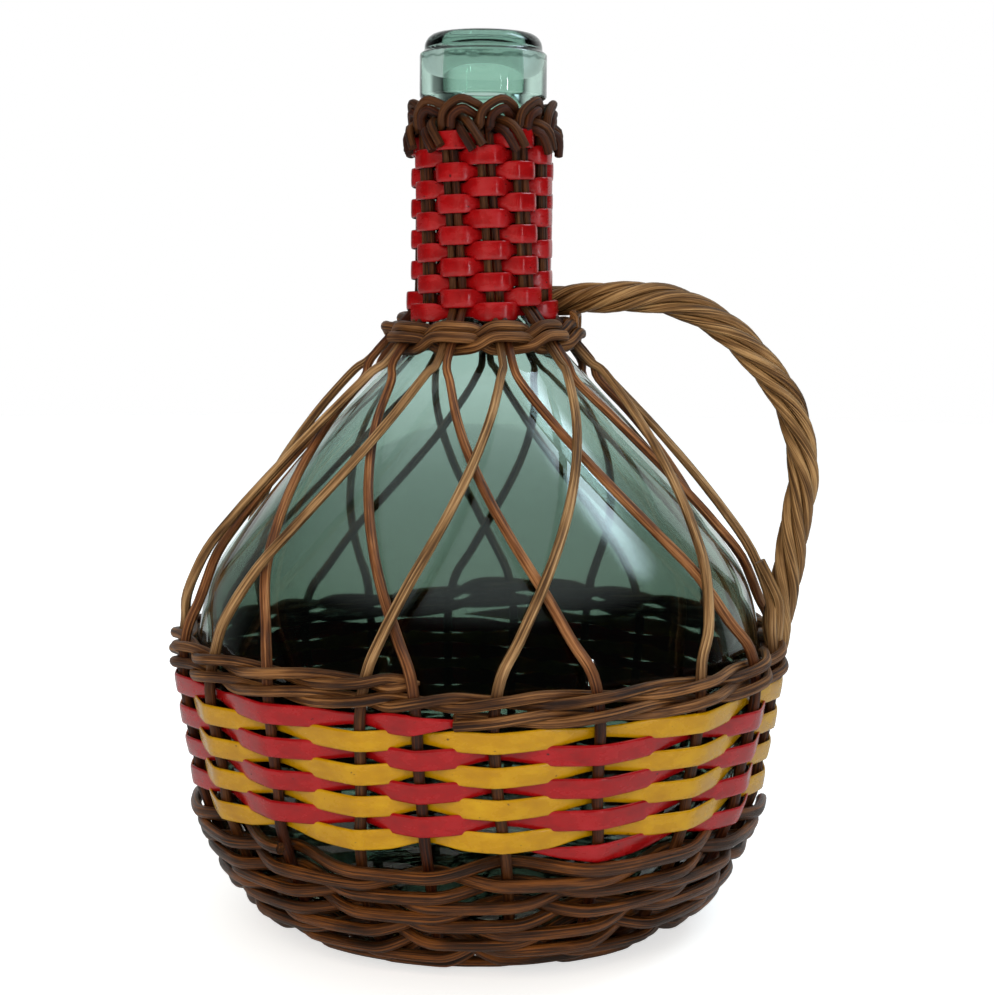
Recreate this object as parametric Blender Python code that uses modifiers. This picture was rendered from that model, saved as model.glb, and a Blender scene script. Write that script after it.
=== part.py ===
"""Demijohn: a green glass bottle in a woven cover, with a twisted cane handle.

The bottle is turned about the Z axis and stands on Z = 0, its front faces -Y
and the handle is on the +X side. Sizes are in metres, angles in degrees, and
an angle round the axis is 0 at the front and grows towards +X.
"""
import math
import random

import bmesh
import bpy
from mathutils import Vector

# Clearances
GAP = 0.00035
GLASS_GAP = 0.00060

# Bottle
MAT_THICKNESS = 0.0122
MAT_RADIUS = 0.0585
MAT_EDGE = 0.0025
FOOT_RADIUS = 0.0580
BELLY_RADIUS = 0.1095
BELLY_HEIGHT = 0.0850
NECK_RADIUS = 0.0198
NECK_HEIGHT = 0.2290
COLLAR_RADIUS = 0.0241
COLLAR_HEIGHT = 0.3014
COLLAR_LENGTH = 0.01705
COLLAR_EDGE = 0.0010
LIP_RADIUS = 0.0223
LIP_HEIGHT = 0.0072
LIP_FLAT_RADIUS = 0.0192
BORE_RADIUS = 0.0153
CHAMFER_WIDTH = 0.0018
CHAMFER_DEPTH = 0.0025
COLLAR_SLOPE = 0.0028
HEEL_EDGE = 0.0060
GLASS_WALL = 0.0035
GLASS_BASE = 0.0050
PUSH_UP = 0.0060
BOTTLE_SEGMENTS = 28

# Cane stakes
STAKES = 22
STAKE_RADIUS = 0.0020
NECK_ROD_RADIUS = 0.00160
STAKE_START_RADIUS = 0.0590
CROSSING_STEPS = 2.5
FRONT_PAIR_ANGLE = 13.5
NECK_TWIST = 12.0
RIM_LEAD = 3.4
HAND_DRIFT = {20: 0.5, 21: 1.9, 0: 4.1, 1: -2.4, 2: -5.9, 3: -4.0, 4: 0.8, 5: 3.0, 6: 0.5, 7: 2.0}
FOOT_SPANS = 8
SHOULDER_SPANS = 6
DRIFT_LIMIT = 2.0
DRIFT_SEED = 5

# Willow weavers of the foot
WILLOW_THICKNESS = 0.0030
WILLOW_PITCH = 0.0061
WILLOW_WIDE = 0.0058
WILLOW_NARROW = 0.0042
WILLOW_START_RADIUS = 0.0640
WILLOW_TAIL = 0.12

# Plastic strips of the side
STRIP_THICKNESS = 0.0012
STRIP_PITCH = 0.0060
STRIP_WIDE = 0.0072
STRIP_NARROW = 0.0036
STRIP_START_Z = 0.0525
STRIP_START_STAKE = 2.7
STRIP_TURNS = 3.93

# Twisted rows of the rim and of the neck ring
ROW_ROD_RADIUS = 0.0014
ROW_PITCH = 0.0061
ROW_TURNS = 2
RIM_Z = 0.1004
RIM_START_STAKE = 2
RIM_SAG_SPAN = 1.5
RING_Z = 0.2200

# Heights over which a stake changes its distance from the glass
FOOT_EASE = 0.0055
SIDE_EASE = 0.0190
BELLY_EASE = 0.0030
RIM_EASE = 0.0180
ROW_EASE = 0.0010
SHOULDER_EASE = 0.0120
THROAT_EASE = 0.0130
RING_EASE = 0.0075
RING_LEAD = 0.0040
NECK_EASE = 0.0050
ROW_SLACK = 0.0002

# Plastic strip of the neck
NECK_STRIP_THICKNESS = 0.0010
NECK_STRIP_PITCH = 0.0058
NECK_STRIP_WIDE = 0.0070
NECK_STRIP_NARROW = 0.0038
NECK_STRIP_Z = 0.2350
NECK_STRIP_FIRST = -2
NECK_STRIP_LAST = 117
PAIR_LAP = 6.5
NECK_STAND_OFF = 0.0005
THROAT_SLACK = 0.0010
THROAT_SOFT = 0.0060

# Border round the neck
BORDER_Z = 0.3000
BORDER_RISE = 0.0102
BORDER_MARGIN = 0.0020

# Handle
HANDLE_RODS = 5
HANDLE_ROD_RADIUS = 0.00195
HANDLE_CORE_RADIUS = 0.0016
HANDLE_LAY = 0.0780
HANDLE_STATIONS = 19
HANDLE_ANGLE = 82.0
HANDLE_REACH = 0.1233
HANDLE_REACH_Z = 0.1750
HANDLE_BEND_X = 0.0930
HANDLE_BEND_Z = 0.2289
HANDLE_TOP_LIFT = 0.0005
HANDLE_TOP_BOW = 0.0014
HANDLE_UPPER_IN = 0.0131
HANDLE_UPPER_RISE = 0.0364
HANDLE_OUTER_IN = 0.0043
HANDLE_OUTER_RISE = 0.0215
HANDLE_FOOT_RISE = 0.0213
HANDLE_FOOT_GAP = 0.0012
HANDLE_HEEL_RISE = 0.0090
HANDLE_HEEL_OUT = 0.0025
HANDLE_REST_GAP = 0.0010
TIE_ROD_RADIUS = 0.0013
TIE_DROP = 0.0045
TIE_SLACK = 0.0009
TIE_STEPS = 16
CUT_END_NEST = 0.0004
CUT_END_START = 0.0010
CUT_END_LENGTH = 0.0210
CUT_END_SPANS = 3

ROD_SIDES = 1
PAIRS = STAKES // 2
STEP_ANGLE = 360.0 / STAKES
PAIR_ANGLE = 360.0 / PAIRS
BOTTLE_Z = MAT_THICKNESS + GAP
PAIR_SPACING = 2.0 * NECK_ROD_RADIUS + GAP

COLOURS = {
    "glass": ((0.36, 0.60, 0.50), 0.05),
    "cane": ((0.30, 0.17, 0.08), 0.55),
    "willow": ((0.13, 0.06, 0.03), 0.60),
    "red_strip": ((0.60, 0.02, 0.03), 0.25),
    "yellow_strip": ((0.80, 0.48, 0.01), 0.25),
}


class Line:
    """A curve in the plane of radius and height, read by its length."""

    def __init__(self, points):
        self.points = points
        self.lengths = [0.0]
        for before, after in zip(points, points[1:]):
            self.lengths.append(self.lengths[-1] + math.dist(before, after))
        self.total = self.lengths[-1]

    def at(self, length):
        """Radius and height at a length along the curve."""
        length = min(max(length, 0.0), self.total)
        low = 0
        high = len(self.lengths) - 1
        while high - low > 1:
            middle = (low + high) // 2
            if self.lengths[middle] <= length:
                low = middle
            else:
                high = middle
        share = (length - self.lengths[low]) / (self.lengths[high] - self.lengths[low])
        start = self.points[low]
        end = self.points[high]
        return (start[0] + share * (end[0] - start[0]), start[1] + share * (end[1] - start[1]))

    def tangent(self, length, reach=0.0015):
        """Direction of travel at a length."""
        back = self.at(length - reach)
        ahead = self.at(length + reach)
        run = math.dist(back, ahead)
        return ((ahead[0] - back[0]) / run, (ahead[1] - back[1]) / run)

    def normal(self, length):
        """Direction away from the glass at a length."""
        tangent = self.tangent(length)
        return (tangent[1], -tangent[0])

    def length_at_height(self, height):
        """The length at which the curve, going up, reaches a height."""
        for index in range(len(self.points) - 1, 0, -1):
            low = self.points[index - 1][1]
            high = self.points[index][1]
            if low <= height <= high and high > low:
                share = (height - low) / (high - low)
                span = self.lengths[index] - self.lengths[index - 1]
                return self.lengths[index - 1] + share * span
        return self.total

    def length_at_radius(self, radius):
        """The length at which the curve, going out, first reaches a radius."""
        for index, point in enumerate(self.points):
            if point[0] >= radius:
                return self.lengths[index]
        return self.total


def smooth(points, steps):
    """A Catmull-Rom curve through points of any number of coordinates."""
    padded = [points[0]] + list(points) + [points[-1]]
    result = []
    for index in range(1, len(padded) - 2):
        before, start, end, after = padded[index - 1:index + 3]
        for step in range(steps):
            t = step / steps
            result.append(tuple(
                0.5 * (2 * b + (c - a) * t + (2 * a - 5 * b + 4 * c - d) * t * t
                       + (3 * b - a - 3 * c + d) * t ** 3)
                for a, b, c, d in zip(before, start, end, after)
            ))
    result.append(tuple(points[-1]))
    return result


def blend(x, stations):
    """Value at x between stations (x, value), eased from each to the next."""
    if x <= stations[0][0]:
        return stations[0][1]
    for (x0, v0), (x1, v1) in zip(stations, stations[1:]):
        if x <= x1:
            t = (x - x0) / (x1 - x0)
            return v0 + (v1 - v0) * t * t * (3.0 - 2.0 * t)
    return stations[-1][1]


def place(radius, angle, height):
    """Point at a radius, an angle round the axis and a height."""
    turn = math.radians(angle)
    return Vector((radius * math.sin(turn), -radius * math.cos(turn), height))


# Outline of the glass, from the middle of its underside to the neck
SHOULDER_SPAN = NECK_HEIGHT - BELLY_HEIGHT
SHOULDER_REACH = BELLY_RADIUS - NECK_RADIUS
GLASS_OUTLINE = [
    (FOOT_RADIUS * 0.776, 0.0),
    (FOOT_RADIUS, 0.0),
    (BELLY_RADIUS * 0.655, BELLY_HEIGHT * 0.0224),
    (BELLY_RADIUS * 0.765, BELLY_HEIGHT * 0.0882),
    (BELLY_RADIUS * 0.880, BELLY_HEIGHT * 0.35),
    (BELLY_RADIUS * 0.965, BELLY_HEIGHT * 0.67),
    (BELLY_RADIUS, BELLY_HEIGHT),
    (NECK_RADIUS + SHOULDER_REACH * 0.9390, BELLY_HEIGHT + SHOULDER_SPAN * 0.2222),
    (NECK_RADIUS + SHOULDER_REACH * 0.7742, BELLY_HEIGHT + SHOULDER_SPAN * 0.3889),
    (NECK_RADIUS + SHOULDER_REACH * 0.4531, BELLY_HEIGHT + SHOULDER_SPAN * 0.6319),
    (NECK_RADIUS + SHOULDER_REACH * 0.1683, BELLY_HEIGHT + SHOULDER_SPAN * 0.8229),
    (NECK_RADIUS + SHOULDER_REACH * 0.0234, BELLY_HEIGHT + SHOULDER_SPAN * 0.9306),
    (NECK_RADIUS, NECK_HEIGHT),
    (NECK_RADIUS, COLLAR_HEIGHT - NECK_EASE),
]
GLASS_LINE = Line([(r, z + BOTTLE_Z) for r, z in smooth(GLASS_OUTLINE, 14)])


def weave_offset(weaver, rod, spacing):
    """How far a weaver bows from a rod's middle so that its slope clears the rod."""
    need = weaver / 2.0 + rod + GAP
    bow = need
    for _ in range(6):
        bow = need * math.sqrt(1.0 + (2.0 * bow / spacing) ** 2)
    return bow


def stake_spacing(radius):
    """Distance between two neighbouring stakes at a radius."""
    return radius * math.radians(STEP_ANGLE)


# How far the middle of a stake stands off the glass in each zone of the cover
FOOT_OFFSET = GLASS_GAP + WILLOW_THICKNESS / 2 + weave_offset(
    WILLOW_THICKNESS, STAKE_RADIUS, stake_spacing(0.7 * BELLY_RADIUS))
SIDE_OFFSET = GLASS_GAP + STRIP_THICKNESS / 2 + weave_offset(
    STRIP_THICKNESS, STAKE_RADIUS, stake_spacing(BELLY_RADIUS))
ROW_BOW = STAKE_RADIUS + ROW_ROD_RADIUS + GAP
RIM_OFFSET = GLASS_GAP + ROW_ROD_RADIUS + ROW_BOW
UNDER_OFFSET = GLASS_GAP + STAKE_RADIUS
OVER_OFFSET = UNDER_OFFSET + 2.0 * STAKE_RADIUS + GAP
RING_BOW = NECK_ROD_RADIUS + ROW_ROD_RADIUS + GAP + ROW_SLACK
RING_OFFSET = GLASS_GAP + ROW_ROD_RADIUS + RING_BOW
NECK_BOW = NECK_ROD_RADIUS + NECK_STRIP_THICKNESS / 2 + GAP + ROW_SLACK
NECK_OFFSET = GLASS_GAP + NECK_STRIP_THICKNESS / 2 + NECK_BOW + NECK_STAND_OFF

STRIP_TOP_Z = STRIP_START_Z + 2.0 * STRIP_PITCH * STRIP_TURNS
RIM_TOP_Z = RIM_Z + ROW_TURNS * ROW_PITCH
RING_TOP_Z = RING_Z + ROW_TURNS * ROW_PITCH


def cover_line(crossing_offset):
    """Middle line of a stake, from the base up to the top of the neck."""
    start = GLASS_LINE.length_at_radius(STAKE_START_RADIUS)
    foot_top = GLASS_LINE.length_at_height(STRIP_START_Z + FOOT_EASE)
    shoulder = GLASS_LINE.length_at_height(RIM_TOP_Z + SHOULDER_EASE)
    throat = GLASS_LINE.length_at_height(RING_Z - THROAT_EASE)
    knots = [(start + (foot_top - start) * step / FOOT_SPANS, FOOT_OFFSET)
             for step in range(FOOT_SPANS + 1)]
    for height, offset in (
        (STRIP_START_Z + 0.6 * SIDE_EASE, 0.5 * (FOOT_OFFSET + SIDE_OFFSET)),
        (STRIP_START_Z + SIDE_EASE, SIDE_OFFSET),
        (0.5 * (STRIP_START_Z + STRIP_TOP_Z) + BELLY_EASE, SIDE_OFFSET),
        (RIM_Z - RIM_EASE, SIDE_OFFSET),
        (RIM_Z - ROW_EASE, RIM_OFFSET),
        (RIM_TOP_Z + ROW_EASE, RIM_OFFSET),
    ):
        knots.append((GLASS_LINE.length_at_height(height), offset))
    for step in range(SHOULDER_SPANS + 1):
        knots.append((shoulder + (throat - shoulder) * step / SHOULDER_SPANS, crossing_offset))
    for height, offset in (
        (RING_Z - RING_EASE, RING_OFFSET),
        (RING_TOP_Z - RING_LEAD, RING_OFFSET),
        (RING_TOP_Z + ROW_EASE, NECK_OFFSET + THROAT_SLACK),
        (RING_TOP_Z + NECK_EASE, NECK_OFFSET + 0.8 * THROAT_SLACK),
        (NECK_HEIGHT + BOTTLE_Z + ROW_EASE, NECK_OFFSET),
        (BORDER_Z + BORDER_MARGIN, NECK_OFFSET),
    ):
        knots.append((GLASS_LINE.length_at_height(height), offset))
    points = []
    for length, offset in knots:
        radius, height = GLASS_LINE.at(length)
        normal = GLASS_LINE.normal(length)
        points.append((radius + normal[0] * offset, height + normal[1] * offset))
    return Line(points)


UNDER_LINE = cover_line(UNDER_OFFSET)
OVER_LINE = cover_line(OVER_OFFSET)
RIM_KNOT = FOOT_SPANS + 6
SHOULDER_KNOT = RIM_KNOT + SHOULDER_SPANS + 1


def hand_drift(index):
    """How far a stake strays from even spacing at the rim."""
    if index in HAND_DRIFT:
        return HAND_DRIFT[index]
    return random.Random(DRIFT_SEED + index).uniform(-DRIFT_LIMIT, DRIFT_LIMIT)


def stake_angle(index, height):
    """Angle of a stake in the basket, where its drift grows from the foot to the rim."""
    index %= STAKES
    even = FRONT_PAIR_ANGLE + RIM_LEAD + (index - CROSSING_STEPS) * STEP_ANGLE
    share = blend(height, [(MAT_THICKNESS, 0.25), (RIM_Z, 1.0)])
    return even + share * hand_drift(index)


def pair_angle(pair, height):
    """Angle of the middle of a pair of rods on the neck, which leans to one side."""
    share = (height - RING_TOP_Z) / (BORDER_Z - RING_TOP_Z)
    return FRONT_PAIR_ANGLE + pair * PAIR_ANGLE - min(max(share, 0.0), 1.0) * NECK_TWIST


def half_pair(radius):
    """Half the angle between the two rods of a pair at a radius."""
    return math.degrees(math.asin(PAIR_SPACING / 2.0 / radius))


def material(kind):
    """The shared colour and roughness of one kind of material."""
    name = "finish_" + kind
    if name in bpy.data.materials:
        return bpy.data.materials[name].copy()
    colour, roughness = COLOURS[kind]
    made = bpy.data.materials.new(name)
    made.use_nodes = True
    shader = made.node_tree.nodes["Principled BSDF"]
    shader.inputs["Base Color"].default_value = (*colour, 1.0)
    shader.inputs["Roughness"].default_value = roughness
    shader.inputs["Metallic"].default_value = 0.0
    if kind == "glass":
        shader.inputs["Transmission Weight"].default_value = 1.0
        shader.inputs["IOR"].default_value = 1.52
    return made


def add(name, data, kind):
    """Link an object of the part and give it its own material."""
    made = bpy.data.objects.new(name, data)
    data.materials.append(material(kind))
    PART.objects.link(made)
    return made


def rod(name, points, radius, kind, shares=None, closed=False):
    """A round rod along points, thinner where its share of the radius is less."""
    curve = bpy.data.curves.new(name, "CURVE")
    curve.dimensions = "3D"
    curve.bevel_depth = radius
    curve.bevel_resolution = ROD_SIDES
    curve.use_fill_caps = not closed
    spline = curve.splines.new("POLY")
    spline.points.add(len(points) - 1)
    spline.use_cyclic_u = closed
    for index, point in enumerate(points):
        spline.points[index].co = (*point, 1.0)
        spline.points[index].radius = shares[index] if shares else 1.0
    return add(name, curve, kind)


def loft(name, sections, kind):
    """A closed band through sections of four corners each."""
    mesh = bpy.data.meshes.new(name)
    body = bmesh.new()
    rings = [[body.verts.new(corner) for corner in section] for section in sections]
    for before, after in zip(rings, rings[1:]):
        for side in range(4):
            around = (side + 1) % 4
            body.faces.new((before[side], before[around], after[around], after[side]))
    body.faces.new(rings[0])
    body.faces.new(rings[-1])
    bmesh.ops.recalc_face_normals(body, faces=body.faces)
    body.to_mesh(mesh)
    body.free()
    return add(name, mesh, kind)


def turned(name, profile, segments, kind):
    """A solid turned about Z from a profile that runs down its outer side."""
    mesh = bpy.data.meshes.new(name)
    points = [(radius, 0.0, height) for radius, height in profile]
    edges = [(index, index + 1) for index in range(len(points) - 1)]
    mesh.from_pydata(points, edges, [])
    made = add(name, mesh, kind)
    screw = made.modifiers.new("turn", "SCREW")
    screw.steps = segments
    screw.render_steps = segments
    screw.use_merge_vertices = True
    screw.merge_threshold = 0.00001
    screw.use_smooth_shade = True
    return made


def glass_bottle():
    """The glass: an open shell with a collar and a rounded lip at its mouth."""
    neck_start = GLASS_LINE.length_at_height(BOTTLE_Z + NECK_HEIGHT)
    foot_start = GLASS_LINE.length_at_radius(FOOT_RADIUS)
    corner_end = GLASS_LINE.length_at_height(BOTTLE_Z + 0.35 * BELLY_HEIGHT)
    throat_start = GLASS_LINE.length_at_height(BOTTLE_Z + NECK_HEIGHT - 0.2083 * SHOULDER_SPAN)
    outer = []
    for start, end, stops in (
        (foot_start, corner_end, 6), (corner_end, throat_start, 8), (throat_start, neck_start, 6),
    ):
        outer.extend(GLASS_LINE.at(start + (end - start) * step / stops) for step in range(stops))
    outer.append(GLASS_LINE.at(neck_start))
    inner_stops = 9
    inner = []
    for step in range(inner_stops + 1):
        length = foot_start + (neck_start - foot_start) * step / inner_stops
        radius, height = GLASS_LINE.at(length)
        normal = GLASS_LINE.normal(length)
        wall = blend(height, [
            (BOTTLE_Z + 0.12 * BELLY_HEIGHT, GLASS_BASE),
            (BOTTLE_Z + 0.47 * BELLY_HEIGHT, GLASS_WALL),
            (BOTTLE_Z + NECK_HEIGHT - 0.28 * SHOULDER_SPAN, GLASS_WALL),
            (BOTTLE_Z + NECK_HEIGHT, NECK_RADIUS - BORE_RADIUS),
        ])
        inner.append((radius - normal[0] * wall, height - normal[1] * wall))
    collar_low = BOTTLE_Z + COLLAR_HEIGHT
    collar_top = collar_low + COLLAR_LENGTH
    lip_top = collar_top + LIP_HEIGHT
    bead = []
    for angle in (0, 30, 60, 90):
        turn = math.radians(angle)
        bead.append((
            LIP_FLAT_RADIUS + (LIP_RADIUS - LIP_FLAT_RADIUS) * math.sin(turn),
            collar_top + LIP_HEIGHT * (0.35 + 0.65 * math.cos(turn)),
        ))
    profile = [(0.0, inner[0][1] + PUSH_UP)]
    profile.append((0.5 * FOOT_RADIUS, inner[0][1] + 0.8 * PUSH_UP))
    profile.extend(inner)
    profile.append((BORE_RADIUS, lip_top - CHAMFER_DEPTH))
    profile.append((BORE_RADIUS + CHAMFER_WIDTH, lip_top))
    profile.extend(bead)
    profile.append((LIP_RADIUS, collar_top))
    profile.append((COLLAR_RADIUS - COLLAR_EDGE, collar_top))
    profile.append((COLLAR_RADIUS, collar_top - COLLAR_EDGE))
    profile.append((COLLAR_RADIUS, collar_low + COLLAR_EDGE))
    profile.append((COLLAR_RADIUS - COLLAR_EDGE, collar_low))
    profile.append((NECK_RADIUS, collar_low - COLLAR_SLOPE))
    profile.extend(reversed(outer))
    profile.append((FOOT_RADIUS - HEEL_EDGE, BOTTLE_Z))
    profile.append((0.5 * FOOT_RADIUS, BOTTLE_Z + 0.8 * PUSH_UP))
    profile.append((0.0, BOTTLE_Z + PUSH_UP))
    return turned("glass_bottle", profile, BOTTLE_SEGMENTS, "glass")


def base_mat():
    """The woven middle of the base, a plain disc that the bottle stands on."""
    profile = [
        (0.0, MAT_THICKNESS),
        (MAT_RADIUS - MAT_EDGE, MAT_THICKNESS),
        (MAT_RADIUS, MAT_THICKNESS - MAT_EDGE),
        (MAT_RADIUS, MAT_EDGE),
        (MAT_RADIUS - MAT_EDGE, 0.0),
        (0.0, 0.0),
    ]
    return turned("base_mat", profile, BOTTLE_SEGMENTS, "willow")


def border_points(pair, side):
    """Top of a rod: it arches over, passes behind the next pair and comes out again.

    Each stop is the share of a pair's step, the share of the border's rise and the
    distance from the neck rods' middle line in rod radii.
    """
    stops = [
        (0.00, 0.0, 0.0),
        (0.01, 0.125, 1.25),
        (0.08, 0.66, 1.75),
        (0.42, 1.0, 1.75),
        (0.72, 0.84, 0.19),
        (0.95, 0.625, -1.5),
        (1.29, 0.393, -1.5),
        (1.58, 0.107, 2.75),
        (1.72, -0.9, 3.25),
    ]
    line_radius = NECK_RADIUS + NECK_OFFSET
    middle = pair_angle(pair, BORDER_Z)
    flat = [
        (share * math.radians(PAIR_ANGLE) * line_radius, climbed * BORDER_RISE)
        for share, climbed, _ in stops
    ]
    points = []
    for index, (_, _, out) in enumerate(stops):
        back = flat[max(index - 1, 0)]
        ahead = flat[min(index + 1, len(flat) - 1)]
        run = math.dist(back, ahead)
        left = (-(ahead[1] - back[1]) / run, (ahead[0] - back[0]) / run)
        shift = -side * PAIR_SPACING / 2.0
        across = flat[index][0] + left[0] * shift
        rise = flat[index][1] + left[1] * shift
        angle = middle + math.degrees(across / line_radius)
        points.append(place(line_radius + out * NECK_ROD_RADIUS, angle, BORDER_Z + rise))
    return points


def stake(index):
    """One cane: from the base up the side, over the shoulder and the neck."""
    goes_left = index % 2 == 0
    side = -1 if goes_left else 1
    lead = 0 if goes_left else 2 * CROSSING_STEPS
    pair = int((index - lead) // 2)
    line = OVER_LINE if goes_left else UNDER_LINE
    points = []
    shares = []
    thin = NECK_ROD_RADIUS / STAKE_RADIUS
    rim_radius, rim_height = line.points[RIM_KNOT]
    foot_angle = stake_angle(index, rim_height)
    top_radius = line.points[SHOULDER_KNOT + 1][0]
    top_angle = pair_angle(pair, RING_Z) + side * half_pair(top_radius)
    turn = (foot_angle - top_angle + 180.0) % 360.0 - 180.0
    shoulder = line.lengths[SHOULDER_KNOT + 1] - line.lengths[RIM_KNOT]
    for knot, (radius, height) in enumerate(line.points[:-1]):
        if knot <= RIM_KNOT:
            angle = stake_angle(index, height)
            share = 1.0
        elif knot <= SHOULDER_KNOT + 1:
            climbed = (line.lengths[knot] - line.lengths[RIM_KNOT]) / shoulder
            fall = 1.0 - climbed
            angle = top_angle + turn * fall * (1.22 - 0.22 * fall)
            share = 1.0 + climbed * (thin - 1.0)
        else:
            angle = pair_angle(pair, height) + side * half_pair(radius)
            share = thin
        points.append(place(radius, angle, height))
        shares.append(share)
    for point in border_points(pair, side):
        points.append(point)
        shares.append(thin)
    return rod(f"stake_{index + 1:02d}", points, STAKE_RADIUS, "cane", shares)


def strand(name, kind, over_parity, first, last, length_at, wide, narrow, thickness):
    """A flat weaver in and out of the stakes, read by stake number with fractions."""
    stops = [first]
    stops.extend(range(math.ceil(first + 0.01), math.floor(last - 0.01) + 1))
    stops.append(last)

    def bow_and_width(number):
        length = length_at(number)
        radius, height = UNDER_LINE.at(length)
        here = stake_angle(number, height)
        gaps = [
            abs((stake_angle(number + step, height) - here + 180.0) % 360.0 - 180.0)
            for step in (-1, 1)
        ]
        spacing = radius * math.radians(min(gaps))
        bow = weave_offset(thickness, STAKE_RADIUS, spacing)
        over = (number - over_parity) % 2 == 0
        return (bow, wide) if over else (-bow, narrow)

    sections = []
    for number in stops:
        low = math.floor(number)
        share = number - low
        length = length_at(number)
        radius, height = UNDER_LINE.at(length)
        normal = UNDER_LINE.normal(length)
        tangent = UNDER_LINE.tangent(length)
        bow, width = bow_and_width(low)
        angle = stake_angle(low, height)
        if share > 0.0:
            next_bow, next_width = bow_and_width(low + 1)
            step = (stake_angle(low + 1, height) - angle + 180.0) % 360.0 - 180.0
            bow += share * (next_bow - bow)
            width += share * (next_width - width)
            angle += share * step
        corners = []
        for along, out in ((-1, -1), (1, -1), (1, 1), (-1, 1)):
            reach = along * width / 2.0
            depth = bow + out * thickness / 2.0
            corners.append(place(
                radius + tangent[0] * reach + normal[0] * depth,
                angle,
                height + tangent[1] * reach + normal[1] * depth,
            ))
        sections.append(corners)
    return loft(name, sections, kind)


def side_weave():
    """Two strands that chase each other: willow at the foot, then plastic strip."""
    change = UNDER_LINE.length_at_height(STRIP_START_Z)
    start = UNDER_LINE.length_at_radius(WILLOW_START_RADIUS)
    willow_turns = (change - start) / (2.0 * WILLOW_PITCH)
    plan = (
        ("willow_weaver_a", "red_strip_side", "red_strip", 1, STRIP_START_STAKE),
        ("willow_weaver_b", "yellow_strip_side", "yellow_strip", 0, STRIP_START_STAKE + PAIRS),
    )
    for willow_name, strip_name, strip_kind, over_parity, begin in plan:

        def willow_length(number, begin=begin):
            return change - 2.0 * WILLOW_PITCH * (begin - number) / STAKES

        def strip_length(number, begin=begin):
            return change + 2.0 * STRIP_PITCH * (number - begin) / STAKES

        strand(willow_name, "willow", over_parity, begin - willow_turns * STAKES, begin - WILLOW_TAIL,
               willow_length, WILLOW_WIDE, WILLOW_NARROW, WILLOW_THICKNESS)
        strand(strip_name, strip_kind, over_parity, begin, begin + STRIP_TURNS * STAKES,
               strip_length, STRIP_WIDE, STRIP_NARROW, STRIP_THICKNESS)


def rim_length(stakes_on):
    """Where the rim's rows run, a number of stakes after their start.

    They lie on the plastic strips, so they climb with them and sag once a turn,
    just past the end of the yellow strand.
    """
    start = UNDER_LINE.length_at_height(RIM_Z)
    strip_end = STRIP_START_STAKE + PAIRS + STRIP_TURNS * STAKES - RIM_START_STAKE
    sag_start = strip_end % STAKES
    sags = sum(
        blend(stakes_on, [(sag_start + turn * STAKES, 0.0),
                          (sag_start + turn * STAKES + RIM_SAG_SPAN, 1.0)])
        for turn in range(ROW_TURNS)
    )
    return start + ROW_PITCH * (stakes_on / PAIRS - sags)


def rim_rows():
    """Two rods twisted round the stakes, two rows high, on the basket's rim."""
    lift = ROW_ROD_RADIUS + GAP / 2.0
    for phase, name in enumerate(("rim_rod_a", "rim_rod_b")):
        points = []
        for half in range(2 * STAKES * ROW_TURNS - 3):
            number = half // 2 + RIM_START_STAKE
            length = rim_length(half / 2.0)
            radius, height = UNDER_LINE.at(length)
            normal = UNDER_LINE.normal(length)
            tangent = UNDER_LINE.tangent(length)
            outside = (number + phase) % 2 == 0
            angle = stake_angle(number, height)
            if half % 2 == 0:
                depth = ROW_BOW if outside else -ROW_BOW
                rise = 0.0
            else:
                step = (stake_angle(number + 1, height) - angle + 180.0) % 360.0 - 180.0
                angle += step / 2.0
                depth = 0.0
                rise = lift if outside else -lift
            points.append(place(
                radius + normal[0] * depth + tangent[0] * rise,
                angle,
                height + normal[1] * depth + tangent[1] * rise,
            ))
        rod(name, points, ROW_ROD_RADIUS, "willow")


def ring_rows():
    """Two rods twisted round the pairs of cane, two rows high, under the neck."""
    lift = ROW_ROD_RADIUS + GAP / 2.0
    start = UNDER_LINE.length_at_height(RING_Z)
    for phase, name in enumerate(("neck_ring_rod_a", "neck_ring_rod_b")):
        points = []
        for number in range(PAIRS * ROW_TURNS - 1):
            outside = (number + phase) % 2 == 0
            for shift in (-1.0, 1.0, None):
                turn_share = number + (0.5 if shift is None else shift * PAIR_LAP / PAIR_ANGLE)
                length = start + ROW_PITCH * turn_share / PAIRS
                around = turn_share + NECK_STRIP_FIRST
                radius, height = UNDER_LINE.at(length)
                normal = UNDER_LINE.normal(length)
                tangent = UNDER_LINE.tangent(length)
                depth = RING_BOW if outside else -RING_BOW
                rise = 0.0
                if shift is None:
                    depth = 0.0
                    rise = lift if outside else -lift
                points.append(place(
                    radius + normal[0] * depth + tangent[0] * rise,
                    pair_angle(around, RING_Z),
                    height + normal[1] * depth + tangent[1] * rise,
                ))
        rod(name, points, ROW_ROD_RADIUS, "willow")


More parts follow.
